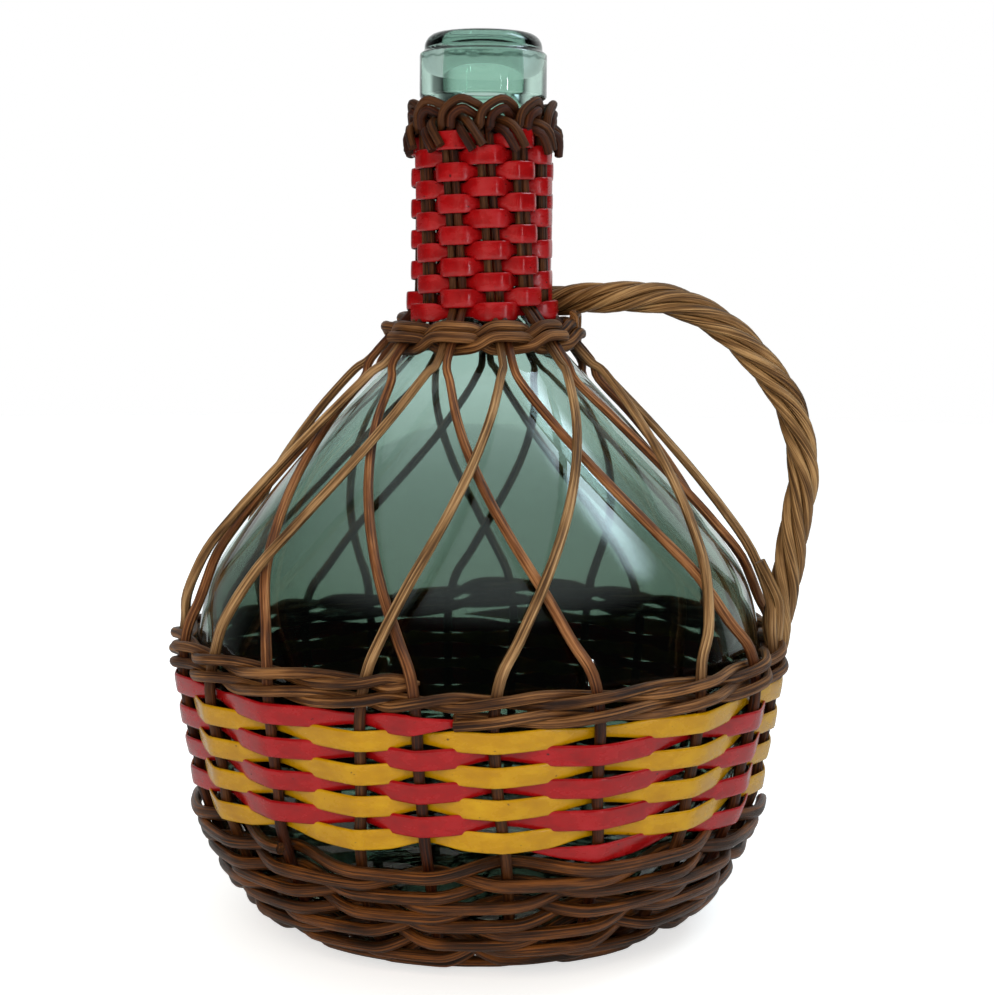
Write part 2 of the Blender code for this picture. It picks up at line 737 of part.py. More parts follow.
def neck_strip():
    """One red strip that winds up the neck, over one pair of rods and under the next."""
    start = UNDER_LINE.length_at_height(NECK_STRIP_Z)
    neck_start = BOTTLE_Z + NECK_HEIGHT
    sections = []
    for number in range(NECK_STRIP_FIRST, NECK_STRIP_LAST + 1):
        over = number % 2 == 0
        width = NECK_STRIP_WIDE if over else NECK_STRIP_NARROW
        for shift in (-PAIR_LAP, PAIR_LAP):
            turn_share = number + shift / PAIR_ANGLE
            length = start + NECK_STRIP_PITCH * turn_share / PAIRS
            radius, height = UNDER_LINE.at(length)
            slack = blend(height, [
                (neck_start - THROAT_SOFT, THROAT_SLACK), (neck_start + THROAT_SOFT, 0.0)])
            bow = NECK_BOW + slack if over else -NECK_BOW - 0.4 * slack
            tangent = UNDER_LINE.tangent(length, width / 2.0)
            normal = (tangent[1], -tangent[0])
            corners = []
            for along, out in ((-1, -1), (1, -1), (1, 1), (-1, 1)):
                reach = along * width / 2.0
                depth = bow + out * NECK_STRIP_THICKNESS / 2.0
                corners.append(place(
                    radius + normal[0] * depth + tangent[0] * reach,
                    pair_angle(turn_share, height),
                    height + normal[1] * depth + tangent[1] * reach,
                ))
            sections.append(corners)
    return loft("red_strip_neck", sections, "red_strip")


def rim_top_at(angle):
    """Highest point of the rim's upper row beside an angle round the axis."""
    even = (angle - FRONT_PAIR_ANGLE - RIM_LEAD) / STEP_ANGLE + CROSSING_STEPS
    stakes_on = (even - RIM_START_STAKE) % STAKES + STAKES
    height = UNDER_LINE.at(rim_length(stakes_on))[1]
    return height + 2.0 * ROW_ROD_RADIUS + GAP / 2.0


def handle_point(reach, depth, height):
    """Point in the handle's plane, or beside it by a depth towards the back."""
    across = place(1.0, HANDLE_ANGLE + 90.0, 0.0)
    return place(reach, HANDLE_ANGLE, height) + depth * across


def handle():
    """Five canes twisted round a core, from the neck ring out and down to the rim."""
    rope_radius = HANDLE_CORE_RADIUS + 2.0 * HANDLE_ROD_RADIUS + GAP
    top_z = RING_TOP_Z + rope_radius + HANDLE_TOP_LIFT
    strip_line = UNDER_LINE.at(UNDER_LINE.length_at_height(top_z - rope_radius))[0]
    neck_face = strip_line + NECK_BOW + THROAT_SLACK + NECK_STRIP_THICKNESS + GAP
    top_run = HANDLE_BEND_X - neck_face
    rim_line = UNDER_LINE.at(UNDER_LINE.length_at_height(RIM_TOP_Z))[0]
    rest_z = rim_top_at(HANDLE_ANGLE) + HANDLE_REST_GAP
    foot_z = rest_z + HANDLE_FOOT_RISE
    stake_line = OVER_LINE.at(OVER_LINE.length_at_height(foot_z))[0]
    foot_reach = stake_line + STAKE_RADIUS + rope_radius + HANDLE_FOOT_GAP
    route = [
        (neck_face, top_z),
        (neck_face + 0.26 * top_run, top_z + HANDLE_TOP_BOW),
        (neck_face + 0.65 * top_run, top_z + 0.3 * HANDLE_TOP_BOW),
        (HANDLE_BEND_X, HANDLE_BEND_Z),
        (HANDLE_REACH - HANDLE_UPPER_IN, HANDLE_REACH_Z + HANDLE_UPPER_RISE),
        (HANDLE_REACH - HANDLE_OUTER_IN, HANDLE_REACH_Z + HANDLE_OUTER_RISE),
        (HANDLE_REACH, HANDLE_REACH_Z),
        (0.5 * (HANDLE_REACH + foot_reach), foot_z + 0.49 * (HANDLE_REACH_Z - foot_z)),
        (foot_reach, foot_z),
        (rim_line + HANDLE_HEEL_OUT, rest_z + HANDLE_HEEL_RISE),
        (rim_line + HANDLE_HEEL_OUT, rest_z),
    ]
    line = Line(smooth(route, 10))
    stations = [line.total * step / HANDLE_STATIONS for step in range(HANDLE_STATIONS + 1)]
    core = [place(line.at(length)[0], HANDLE_ANGLE, line.at(length)[1]) for length in stations]
    rod("handle_core", core, HANDLE_CORE_RADIUS, "cane")
    lay_radius = HANDLE_CORE_RADIUS + HANDLE_ROD_RADIUS + GAP
    for number in range(HANDLE_RODS):
        points = []
        for length in stations:
            x, z = line.at(length)
            along = line.tangent(length)
            turn = 2.0 * math.pi * (length / HANDLE_LAY + number / HANDLE_RODS)
            side = lay_radius * math.cos(turn)
            depth = lay_radius * math.sin(turn)
            points.append(handle_point(x - along[1] * side, depth, z + along[0] * side))
        rod(f"handle_rod_{number + 1}", points, HANDLE_ROD_RADIUS, "cane")
    return line, rope_radius, rest_z


def handle_ties(line, rope_radius, rest_z):
    """A loop that binds the handle to the neck ring, and a cut cane end at the rim."""
    loop_radius = (rope_radius + TIE_ROD_RADIUS + TIE_SLACK) / math.cos(math.pi / TIE_STEPS)
    ring_out = UNDER_LINE.at(UNDER_LINE.length_at_height(RING_TOP_Z - ROW_PITCH / 2.0))[0]
    loop_x = ring_out + RING_BOW + ROW_ROD_RADIUS + TIE_ROD_RADIUS + 2.0 * TIE_SLACK
    loop_z = line.at(line.length_at_radius(loop_x))[1]
    points = []
    for step in range(TIE_STEPS):
        turn = 2.0 * math.pi * step / TIE_STEPS
        height = loop_z + loop_radius * math.cos(turn)
        if math.cos(turn) < 0.0:
            height += TIE_DROP * math.cos(turn)
        points.append(handle_point(loop_x, loop_radius * math.sin(turn), height))
    rod("handle_tie", points, TIE_ROD_RADIUS, "cane", closed=True)
    behind = rope_radius + STAKE_RADIUS - CUT_END_NEST
    end_points = []
    for span in range(CUT_END_SPANS + 1):
        height = rest_z + CUT_END_START + CUT_END_LENGTH * span / CUT_END_SPANS
        stake_line = OVER_LINE.at(OVER_LINE.length_at_height(height))[0]
        reach = stake_line + 2.0 * STAKE_RADIUS + 3.0 * GAP
        end_points.append(handle_point(reach, -behind, height))
    rod("handle_cut_end", end_points, STAKE_RADIUS, "cane")


for old in list(bpy.data.objects):
    bpy.data.objects.remove(old)

PART = bpy.data.collections.new("demijohn")
bpy.context.scene.collection.children.link(PART)

base_mat()
glass_bottle()
for stake_index in range(STAKES):
    stake(stake_index)
side_weave()
rim_rows()
ring_rows()
neck_strip()
handle_ties(*handle())
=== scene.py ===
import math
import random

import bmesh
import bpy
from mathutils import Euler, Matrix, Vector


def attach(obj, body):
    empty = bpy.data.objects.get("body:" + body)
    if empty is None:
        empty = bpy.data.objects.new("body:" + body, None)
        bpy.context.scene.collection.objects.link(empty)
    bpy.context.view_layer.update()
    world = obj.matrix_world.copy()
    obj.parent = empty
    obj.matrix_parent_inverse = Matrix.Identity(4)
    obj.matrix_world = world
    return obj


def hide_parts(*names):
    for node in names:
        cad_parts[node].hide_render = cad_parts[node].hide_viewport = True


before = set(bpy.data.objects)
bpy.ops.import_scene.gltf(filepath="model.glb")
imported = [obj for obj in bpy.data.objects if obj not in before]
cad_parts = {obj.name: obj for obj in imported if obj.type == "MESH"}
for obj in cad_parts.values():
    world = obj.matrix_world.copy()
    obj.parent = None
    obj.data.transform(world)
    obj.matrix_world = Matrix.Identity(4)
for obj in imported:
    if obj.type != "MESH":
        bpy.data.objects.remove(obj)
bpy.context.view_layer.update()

# %% [markdown]
# The demijohn: one fixed frame
#
# A demijohn is a big round bottle of green glass in a woven cover. Its real pieces
# are the glass, twenty-two canes that climb from the base to the mouth, willow and
# plastic strip woven round them, and a handle of twisted cane. The frame that was
# just loaded holds each of them as a plain solid at its real size. This lesson
# gives every piece its real surface, in the same place, and leaves the sizes alone.

BODY = "root"
MM = 0.001

# %% [markdown]
# The camera
#
# The picture was taken from the height of the neck, about three quarters of a metre
# away, with a mild telephoto lens and the camera a little askew. A camera could be
# aimed with a constraint, but plain angles are easier to read.

# %% Camera
CAMERA_PLACE = (4.3 * MM, -739.2 * MM, 242.3 * MM)
CAMERA_DOWN = 6.164
CAMERA_TURN = -0.17
CAMERA_ROLL = 0.47
PHOTO_SIDE_PX = 995
FOCAL_PX = 1920
SENSOR_MM = 36.0

camera_data = bpy.data.cameras.new("camera")
camera_data.sensor_width = SENSOR_MM
camera_data.lens = SENSOR_MM * FOCAL_PX / PHOTO_SIDE_PX
camera_data.clip_start = 10.0 * MM
camera = bpy.data.objects.new("camera", camera_data)
camera.location = CAMERA_PLACE
pitch = Euler((math.radians(90.0 - CAMERA_DOWN), 0.0, 0.0)).to_matrix()
roll = Euler((0.0, 0.0, math.radians(CAMERA_ROLL))).to_matrix()
turn = Euler((0.0, 0.0, math.radians(CAMERA_TURN))).to_matrix()
camera.rotation_euler = (turn @ pitch @ roll).to_euler()
scene = bpy.context.scene
scene.collection.objects.link(camera)
scene.camera = camera
print("lens", round(camera_data.lens, 1), "mm")

# %% [markdown]
# Colours and nodes
#
# Colours are written as the hex values a designer reads off a chart. Blender wants
# linear light, so one function turns every hex value before a shader sees it.
# Another one adds a node: its settings, and a value or a link for each input.


# %% Hex colours to linear light, and a node with its links
def linear(code):
    """A hex colour such as c0ffee as linear red, green, blue and alpha."""
    values = [int(code[index:index + 2], 16) / 255.0 for index in (0, 2, 4)]
    return tuple(v / 12.92 if v <= 0.04045 else ((v + 0.055) / 1.055) ** 2.4 for v in values) + (1.0,)


def feed(made, inputs):
    """Give a node its inputs: each a value, a socket, or a node whose first output is meant."""
    for name, value in inputs.items():
        if isinstance(value, bpy.types.Node):
            value = next(socket for socket in value.outputs if socket.enabled)
        if isinstance(value, bpy.types.NodeSocket):
            made.id_data.links.new(value, made.inputs[name])
        else:
            made.inputs[name].default_value = value


def node(tree, kind, inputs=None, **settings):
    """Add a node with its settings and inputs."""
    made = tree.nodes.new(kind)
    for key, value in settings.items():
        setattr(made, key, value)
    feed(made, inputs or {})
    return made


def new_material(name):
    """A material, its node tree and its Principled shader."""
    made = bpy.data.materials.new(name)
    made.use_nodes = True
    return made, made.node_tree, made.node_tree.nodes["Principled BSDF"]


print("a cane brown in linear light:", linear("8a6644"))

# %% [markdown]
# Light and floor
#
# The room is pale behind the bottle and overhead, dimmer on the left and dark behind
# the camera. Glass shows this at once: through the shoulder one sees the pale wall,
# and the belly mirrors the dark side of the room. A skylight at the upper right lies
# on the shoulder as a long streak, and a tall narrow window in front draws the
# upright glints on the neck. Area lights stand in for both. Two wide soft cards
# light the front and the side of the basket, and no reflection shows them.
# The paper under the bottle glows a little to the camera, so it ends in pure white
# and only the contact shade is left. Seen through the glass it brightens with the
# distance, so that no edge of the floor shows there.

# %% Room
WALL_BEHIND = "f6faf9"
WALL_IN_FRONT = "1e2120"
CEILING = "c0c8c9"
WALL_TURNS_PALE = (0.25, 0.80)
LEFT_WALL = (-0.62, -0.22)
LEFT_WALL_SHARE = 0.22
CEILING_STARTS = (0.46, 0.88)

scene.view_settings.view_transform = "Standard"
world = bpy.data.worlds.new("pale_room")
scene.world = world
world.use_nodes = True
sky = world.node_tree
sky.nodes.clear()
facing = node(sky, "ShaderNodeSeparateXYZ", {
    "Vector": node(sky, "ShaderNodeTexCoord").outputs["Generated"]}).outputs
behind, rightward, above = (
    node(sky, "ShaderNodeMapRange", {
        "Value": facing[axis], "From Min": start, "From Max": end, "To Min": share},
        interpolation_type="SMOOTHSTEP")
    for axis, (start, end), share in (
        ("Y", WALL_TURNS_PALE, 0.0), ("X", LEFT_WALL, LEFT_WALL_SHARE), ("Z", CEILING_STARTS, 0.0)))
lit = node(sky, "ShaderNodeMath", {0: behind, 1: rightward}, operation="MULTIPLY")
walls = node(sky, "ShaderNodeMix", {
    "Factor": lit, "A": linear(WALL_IN_FRONT), "B": linear(WALL_BEHIND)}, data_type="RGBA")
room_colour = node(sky, "ShaderNodeMix", {
    "Factor": above, "A": walls, "B": linear(CEILING)}, data_type="RGBA")
either = node(sky, "ShaderNodeMixShader", {
    "Fac": node(sky, "ShaderNodeLightPath").outputs["Is Camera Ray"],
    1: node(sky, "ShaderNodeBackground", {"Color": room_colour}),
    2: node(sky, "ShaderNodeBackground", {"Color": linear("ffffff")})})
node(sky, "ShaderNodeOutputWorld", {"Surface": either})
print("room:", len(sky.nodes), "nodes")

# %% Windows and cards
BOTTLE_MIDDLE = (0.0, 0.0, 0.17)
UPRIGHT = (0.0, 0.0, 1.0)


def window(name, spot, long_side, size, power, colour, mirrored=True, faded=False):
    """A rectangular light at a spot, facing the bottle, its long side along a direction.
    A faded one grows dim towards its edges, like a window behind a net curtain."""
    data = bpy.data.lights.new(name, "AREA")
    data.shape = "RECTANGLE"
    data.size, data.size_y = size
    data.energy = power
    data.color = linear(colour)[:3]
    lamp = bpy.data.objects.new(name, data)
    away = (Vector(spot) - Vector(BOTTLE_MIDDLE)).normalized()
    length = Vector(long_side)
    length = (length - away * length.dot(away)).normalized()
    lamp.matrix_world = Matrix.Translation(spot) @ Matrix(
        (length, away.cross(length), away)).transposed().to_4x4()
    lamp.visible_glossy = mirrored
    lamp.visible_transmission = mirrored
    lamp.visible_camera = False
    if faded:
        data.use_nodes = True
        tree = data.node_tree
        across = node(tree, "ShaderNodeSeparateXYZ", {
            "Vector": node(tree, "ShaderNodeNewGeometry").outputs["Parametric"]}).outputs
        edges = {}
        for index, axis in enumerate("XY"):
            off = node(tree, "ShaderNodeMath", {0: across[axis], 1: 0.5}, operation="SUBTRACT")
            off = node(tree, "ShaderNodeMath", {0: off}, operation="ABSOLUTE")
            edges[index] = node(tree, "ShaderNodeMapRange", {
                "Value": off, "From Min": 0.5, "From Max": 0.12}, interpolation_type="SMOOTHSTEP")
        feed(tree.nodes["Emission"], {"Strength": node(tree, "ShaderNodeMath", edges, operation="MULTIPLY")})
    scene.collection.objects.link(lamp)


window("skylight", (0.841, 0.096, 1.278), (0.763, 0.152, -0.628), (0.96, 0.52), 15.0, "d0e6f4", faded=True)
window("side_card", (1.10, -1.15, 0.30), UPRIGHT, (0.8, 0.3), 3.2, "f2f7ff", mirrored=False)
window("tall_window", (1.10, -1.15, 0.150), UPRIGHT, (0.50, 0.05), 1.9, "f2f7ff")
window("fill_card", (-0.55, -1.95, 0.95), (1.0, 0.0, 0.0), (2.4, 1.6), 38.0, "fff4e6", mirrored=False)

# %% Floor
FLOOR_RADIUS = 3.0
FLOOR_CORNERS = 96
FLOOR_DROP = 0.2 * MM
PAPER_GLOW = 0.62
PAPER_FAR_GLOW = 0.30
PAPER_NEAR = 0.4

bpy.ops.mesh.primitive_circle_add(
    vertices=FLOOR_CORNERS, radius=FLOOR_RADIUS, fill_type="NGON", location=(0, 0, -FLOOR_DROP))
floor = bpy.context.object
floor.name = "floor"
paper, tree, shader = new_material("matt_white_paper")
kinds = node(tree, "ShaderNodeLightPath").outputs
from_middle = node(tree, "ShaderNodeVectorMath", {
    0: node(tree, "ShaderNodeTexCoord").outputs["Object"]}, operation="LENGTH").outputs["Value"]
far = node(tree, "ShaderNodeMapRange", {
    "Value": from_middle, "From Min": PAPER_NEAR, "From Max": FLOOR_RADIUS, "To Max": PAPER_FAR_GLOW})
through = node(tree, "ShaderNodeMath", {0: kinds["Is Transmission Ray"], 1: far}, operation="MULTIPLY")
glow = node(tree, "ShaderNodeMath", {
    0: kinds["Is Camera Ray"], 1: PAPER_GLOW, 2: through}, operation="MULTIPLY_ADD")
feed(shader, {"Base Color": linear("f6f6f6"), "Roughness": 0.9,
              "Emission Color": linear("ffffff"), "Emission Strength": glow})
floor.data.materials.append(paper)
print("floor:", round(2.0 * FLOOR_RADIUS), "m across")

# %% [markdown]
# The outline that everything follows
#
# The glass is turned: one outline, spun round the axis. The canes and the weave lie
# on that outline at fixed distances from it, so the outline is worked out first and
# read by its length, as a tailor reads a tape.

# %% Sizes of the glass and of the cover
GAP = 0.35 * MM
GLASS_GAP = 0.6 * MM
MAT_THICKNESS = 12.2 * MM
BOTTLE_Z = MAT_THICKNESS + GAP
FOOT_RADIUS = 58.0 * MM
BELLY_RADIUS = 109.5 * MM
BELLY_HEIGHT = 85.0 * MM
NECK_RADIUS = 19.8 * MM
NECK_HEIGHT = 229.0 * MM
COLLAR_RADIUS = 24.1 * MM
COLLAR_HEIGHT = 301.4 * MM
COLLAR_LENGTH = 17.05 * MM
LIP_RADIUS = 22.3 * MM
LIP_HEIGHT = 7.2 * MM
LIP_FLAT_RADIUS = 19.2 * MM
BORE_RADIUS = 15.3 * MM

STAKES = 22
PAIRS = STAKES // 2
STEP_ANGLE = 360.0 / STAKES
PAIR_ANGLE = 360.0 / PAIRS
STAKE_RADIUS = 2.0 * MM
STAKE_START_RADIUS = 59.0 * MM
NECK_ROD_RADIUS = 1.6 * MM
WILLOW_THICKNESS = 3.0 * MM
STRIP_THICKNESS = 1.2 * MM
STRIP_PITCH = 6.0 * MM
STRIP_START_Z = 52.5 * MM
STRIP_START_STAKE = 2.7
STRIP_TURNS = 3.93
ROW_ROD_RADIUS = 1.4 * MM
ROW_PITCH = 6.1 * MM
ROW_TURNS = 2
RIM_Z = 100.4 * MM
RIM_START_STAKE = 2
RING_Z = 220.0 * MM
NECK_STRIP_THICKNESS = 1.0 * MM
NECK_STAND_OFF = 0.5 * MM
THROAT_SLACK = 1.0 * MM
BORDER_Z = 300.0 * MM
print("canes:", STAKES, "in", PAIRS, "pairs")


# %% Lines that are read by their length
class Line:
    """A curve in the plane of radius and height, read by its length."""

    def __init__(self, points):
        self.points = points
        self.lengths = [0.0]
        for before, after in zip(points, points[1:]):
            self.lengths.append(self.lengths[-1] + math.dist(before, after))
        self.total = self.lengths[-1]

    def at(self, length):
        """Radius and height at a length along the curve."""
        length = min(max(length, 0.0), self.total)
        low = 0
        high = len(self.lengths) - 1
        while high - low > 1:
            middle = (low + high) // 2
            if self.lengths[middle] <= length:
                low = middle
            else:
                high = middle
        share = (length - self.lengths[low]) / (self.lengths[high] - self.lengths[low])
        start, end = self.points[low], self.points[high]
        return (start[0] + share * (end[0] - start[0]), start[1] + share * (end[1] - start[1]))

    def tangent(self, length, reach=1.5 * MM):
        """Direction of travel at a length."""
        back, ahead = self.at(length - reach), self.at(length + reach)
        run = math.dist(back, ahead)
        return ((ahead[0] - back[0]) / run, (ahead[1] - back[1]) / run)

    def beside(self, length, out, up=0.0):
        """Radius and height of a point off the curve, by a distance outward and one along it."""
        radius, height = self.at(length)
        along = self.tangent(length)
        return (radius + along[1] * out + along[0] * up, height - along[0] * out + along[1] * up)

    def length_at_height(self, height):
        """The length at which the curve, going up, reaches a height."""
        for index in range(len(self.points) - 1, 0, -1):
            low, high = self.points[index - 1][1], self.points[index][1]
            if low <= height <= high and high > low:
                span = self.lengths[index] - self.lengths[index - 1]
                return self.lengths[index - 1] + span * (height - low) / (high - low)
        return self.total

    def length_at_radius(self, radius):
        """The length at which the curve, going out, first reaches a radius."""
        return next(length for length, point in zip(self.lengths, self.points) if point[0] >= radius)

    def radius_at_height(self, height):
        """The radius where the curve, going up, reaches a height."""
        return self.at(self.length_at_height(height))[0]


def smooth(points, steps):
    """A rounded curve through points of any number of coordinates."""
    padded = [points[0]] + list(points) + [points[-1]]
    result = []
    for index in range(1, len(padded) - 2):
        before, start, end, after = padded[index - 1:index + 3]
        for step in range(steps):
            t = step / steps
            result.append(tuple(
                0.5 * (2 * b + (c - a) * t + (2 * a - 5 * b + 4 * c - d) * t * t
                       + (3 * b - a - 3 * c + d) * t ** 3)
                for a, b, c, d in zip(before, start, end, after)))
    result.append(tuple(points[-1]))
    return result


def blend(x, *stations):
    """Value at x between stations (x, value), eased from each to the next."""
    if x <= stations[0][0]:
        return stations[0][1]
    for (x0, v0), (x1, v1) in zip(stations, stations[1:]):
        if x <= x1:
            t = (x - x0) / (x1 - x0)
            return v0 + (v1 - v0) * t * t * (3.0 - 2.0 * t)
    return stations[-1][1]


def place(radius, angle, height):
    """Point at a radius, an angle round the axis from the front, and a height."""
    turn = math.radians(angle)
    return Vector((radius * math.sin(turn), -radius * math.cos(turn), height))


SHOULDER_SPAN = NECK_HEIGHT - BELLY_HEIGHT
SHOULDER_REACH = BELLY_RADIUS - NECK_RADIUS
FLAT_SHARE = 0.776
# Shares of the belly's radius and height, and then of the way in to the neck and up to it.
BELLY_SHARES = ((0.655, 0.0224), (0.765, 0.0882), (0.880, 0.35), (0.965, 0.67), (1.0, 1.0))
SHOULDER_SHARES = (
    (0.9390, 0.2222), (0.7742, 0.3889), (0.4531, 0.6319), (0.1683, 0.8229), (0.0234, 0.9306))
OUTLINE_STEPS = 14
GLASS_OUTLINE = [(FOOT_RADIUS * FLAT_SHARE, 0.0), (FOOT_RADIUS, 0.0)]
for out, up in BELLY_SHARES:
    GLASS_OUTLINE.append((BELLY_RADIUS * out, BELLY_HEIGHT * up))
for out, up in SHOULDER_SHARES:
    GLASS_OUTLINE.append((NECK_RADIUS + SHOULDER_REACH * out, BELLY_HEIGHT + SHOULDER_SPAN * up))
GLASS_OUTLINE += [(NECK_RADIUS, NECK_HEIGHT), (NECK_RADIUS, COLLAR_HEIGHT - 5.0 * MM)]
GLASS_LINE = Line([(r, z + BOTTLE_Z) for r, z in smooth(GLASS_OUTLINE, OUTLINE_STEPS)])
print("outline:", round(GLASS_LINE.total / MM), "mm from foot to collar")

# %% [markdown]
# Where a cane runs
#
# A cane stands off the glass by what passes between it and the glass: thick willow
# at the foot, thin plastic on the side, the rods of the rim, nothing on the bare
# shoulder, where one set of canes crosses over the other, and the strip on the neck.

# %% Lines of the two sets of canes
BOW_ROUNDS = 6
FOOT_SPANS = 8
SHOULDER_SPANS = 6
RIM_KNOT = FOOT_SPANS + 6
SHOULDER_KNOT = RIM_KNOT + SHOULDER_SPANS + 1


def weave_offset(weaver, spacing):
    """How far a weaver bows from a cane's middle so that its slope clears the cane."""
    need = weaver / 2.0 + STAKE_RADIUS + GAP
    bow = need
    for _ in range(BOW_ROUNDS):
        bow = need * math.sqrt(1.0 + (2.0 * bow / spacing) ** 2)
    return bow


def stand_off(weaver, radius):
    """How far a cane stands off the glass where a weaver passes behind it."""
    return GLASS_GAP + weaver / 2 + weave_offset(weaver, radius * math.radians(STEP_ANGLE))


FOOT_OFFSET = stand_off(WILLOW_THICKNESS, 0.7 * BELLY_RADIUS)
SIDE_OFFSET = stand_off(STRIP_THICKNESS, BELLY_RADIUS)
ROW_BOW = STAKE_RADIUS + ROW_ROD_RADIUS + GAP
RIM_OFFSET = GLASS_GAP + ROW_ROD_RADIUS + ROW_BOW
UNDER_OFFSET = GLASS_GAP + STAKE_RADIUS
OVER_OFFSET = UNDER_OFFSET + 2.0 * STAKE_RADIUS + GAP
RING_BOW = NECK_ROD_RADIUS + ROW_ROD_RADIUS + GAP + 0.2 * MM
RING_OFFSET = GLASS_GAP + ROW_ROD_RADIUS + RING_BOW
NECK_BOW = NECK_ROD_RADIUS + NECK_STRIP_THICKNESS / 2 + GAP + 0.2 * MM
NECK_OFFSET = GLASS_GAP + NECK_STRIP_THICKNESS / 2 + NECK_BOW + NECK_STAND_OFF
STRIP_TOP_Z = STRIP_START_Z + 2.0 * STRIP_PITCH * STRIP_TURNS
RIM_TOP_Z = RIM_Z + ROW_TURNS * ROW_PITCH
RING_TOP_Z = RING_Z + ROW_TURNS * ROW_PITCH


def cover_line(crossing_offset):
    """Middle line of a cane, from the base up to the top of the neck. Each knot is a length
    along the glass, or the height of it, and how far the cane stands off there."""
    start = GLASS_LINE.length_at_radius(STAKE_START_RADIUS)
    foot_top, shoulder, throat = (GLASS_LINE.length_at_height(height) for height in (
        STRIP_START_Z + 5.5 * MM, RIM_TOP_Z + 12.0 * MM, RING_Z - 13.0 * MM))
    knots = [(start + (foot_top - start) * step / FOOT_SPANS, FOOT_OFFSET)
             for step in range(FOOT_SPANS + 1)]
    knots += [(GLASS_LINE.length_at_height(height), offset) for height, offset in (
        (STRIP_START_Z + 11.4 * MM, 0.5 * (FOOT_OFFSET + SIDE_OFFSET)),
        (STRIP_START_Z + 19.0 * MM, SIDE_OFFSET),
        (0.5 * (STRIP_START_Z + STRIP_TOP_Z) + 3.0 * MM, SIDE_OFFSET),
        (RIM_Z - 18.0 * MM, SIDE_OFFSET),
        (RIM_Z - 1.0 * MM, RIM_OFFSET),
        (RIM_TOP_Z + 1.0 * MM, RIM_OFFSET))]
    knots += [(shoulder + (throat - shoulder) * step / SHOULDER_SPANS, crossing_offset)
              for step in range(SHOULDER_SPANS + 1)]
    knots += [(GLASS_LINE.length_at_height(height), offset) for height, offset in (
        (RING_Z - 7.5 * MM, RING_OFFSET),
        (RING_TOP_Z - 4.0 * MM, RING_OFFSET),
        (RING_TOP_Z + 1.0 * MM, NECK_OFFSET + THROAT_SLACK),
        (RING_TOP_Z + 5.0 * MM, NECK_OFFSET + 0.8 * THROAT_SLACK),
        (NECK_HEIGHT + BOTTLE_Z + 1.0 * MM, NECK_OFFSET),
        (BORDER_Z + 2.0 * MM, NECK_OFFSET))]
    return Line([GLASS_LINE.beside(length, offset) for length, offset in knots])


UNDER_LINE = cover_line(UNDER_OFFSET)
OVER_LINE = cover_line(OVER_OFFSET)
print("a cane is", round(OVER_LINE.total / MM), "mm long up to the border")

# %% [markdown]
# Where a cane stands round the bottle
#
# The maker set the canes by hand, so their spacing strays a few degrees. The ones at
# the front follow the photograph; those behind stray at random from a fixed seed.

# %% Angles of the canes and of the pairs on the neck
CROSSING_STEPS = 2.5
FRONT_PAIR_ANGLE = 13.5
NECK_TWIST = 12.0
RIM_LEAD = 3.4
HAND_DRIFT = {20: 0.5, 21: 1.9, 0: 4.1, 1: -2.4, 2: -5.9, 3: -4.0, 4: 0.8, 5: 3.0, 6: 0.5, 7: 2.0}
DRIFT_LIMIT = 2.0
DRIFT_SEED = 5
PAIR_SPACING = 2.0 * NECK_ROD_RADIUS + GAP


def turn_between(start, end):
    """The shorter turn from one angle to another."""
    return (end - start + 180.0) % 360.0 - 180.0


def stake_angle(index, height):
    """Angle of a cane in the basket, where its drift grows from the foot to the rim."""
    index %= STAKES
    even = FRONT_PAIR_ANGLE + RIM_LEAD + (index - CROSSING_STEPS) * STEP_ANGLE
    chance = random.Random(DRIFT_SEED + index).uniform(-DRIFT_LIMIT, DRIFT_LIMIT)
    share = blend(height, (MAT_THICKNESS, 0.25), (RIM_Z, 1.0))
    return even + share * HAND_DRIFT.get(index, chance)


def angle_between(index, share, height):
    """Angle a share of the way from one cane to the next."""
    here = stake_angle(index, height)
    return here + share * turn_between(here, stake_angle(index + 1, height))


def pair_angle(pair, height):
    """Angle of the middle of a pair of rods on the neck, which leans to one side."""
    share = (height - RING_TOP_Z) / (BORDER_Z - RING_TOP_Z)
    return FRONT_PAIR_ANGLE + pair * PAIR_ANGLE - min(max(share, 0.0), 1.0) * NECK_TWIST


def half_pair(radius):
    """Half the angle between the two rods of a pair at a radius."""
    return math.degrees(math.asin(PAIR_SPACING / 2.0 / radius))


print("front pair at", FRONT_PAIR_ANGLE, "degrees, its canes reach the rim at",
      round(stake_angle(0, RIM_Z)), "and", round(stake_angle(5, RIM_Z)))

# %% [markdown]
# One tree for everything that is woven
#
# Canes, willow and plastic strip are all long things of a steady section that
# follow a path. One Geometry Nodes tree makes them all. It sweeps a section of unit
# size along the path, and then moves each point of it to its place from the path's
# own middle, its outward direction and its half width and half thickness there. So a
# strip can be narrow under a cane and wide over it. The tree also stores where each
# point lies across and along the piece, which the finishes read as their grain.

# %% Geometry Nodes tree that sweeps a section along a path
PATH_VALUES = {"outward": "FLOAT_VECTOR", "half_width": "FLOAT", "half_thick": "FLOAT"}
SWEEP_SCALE = 0.001


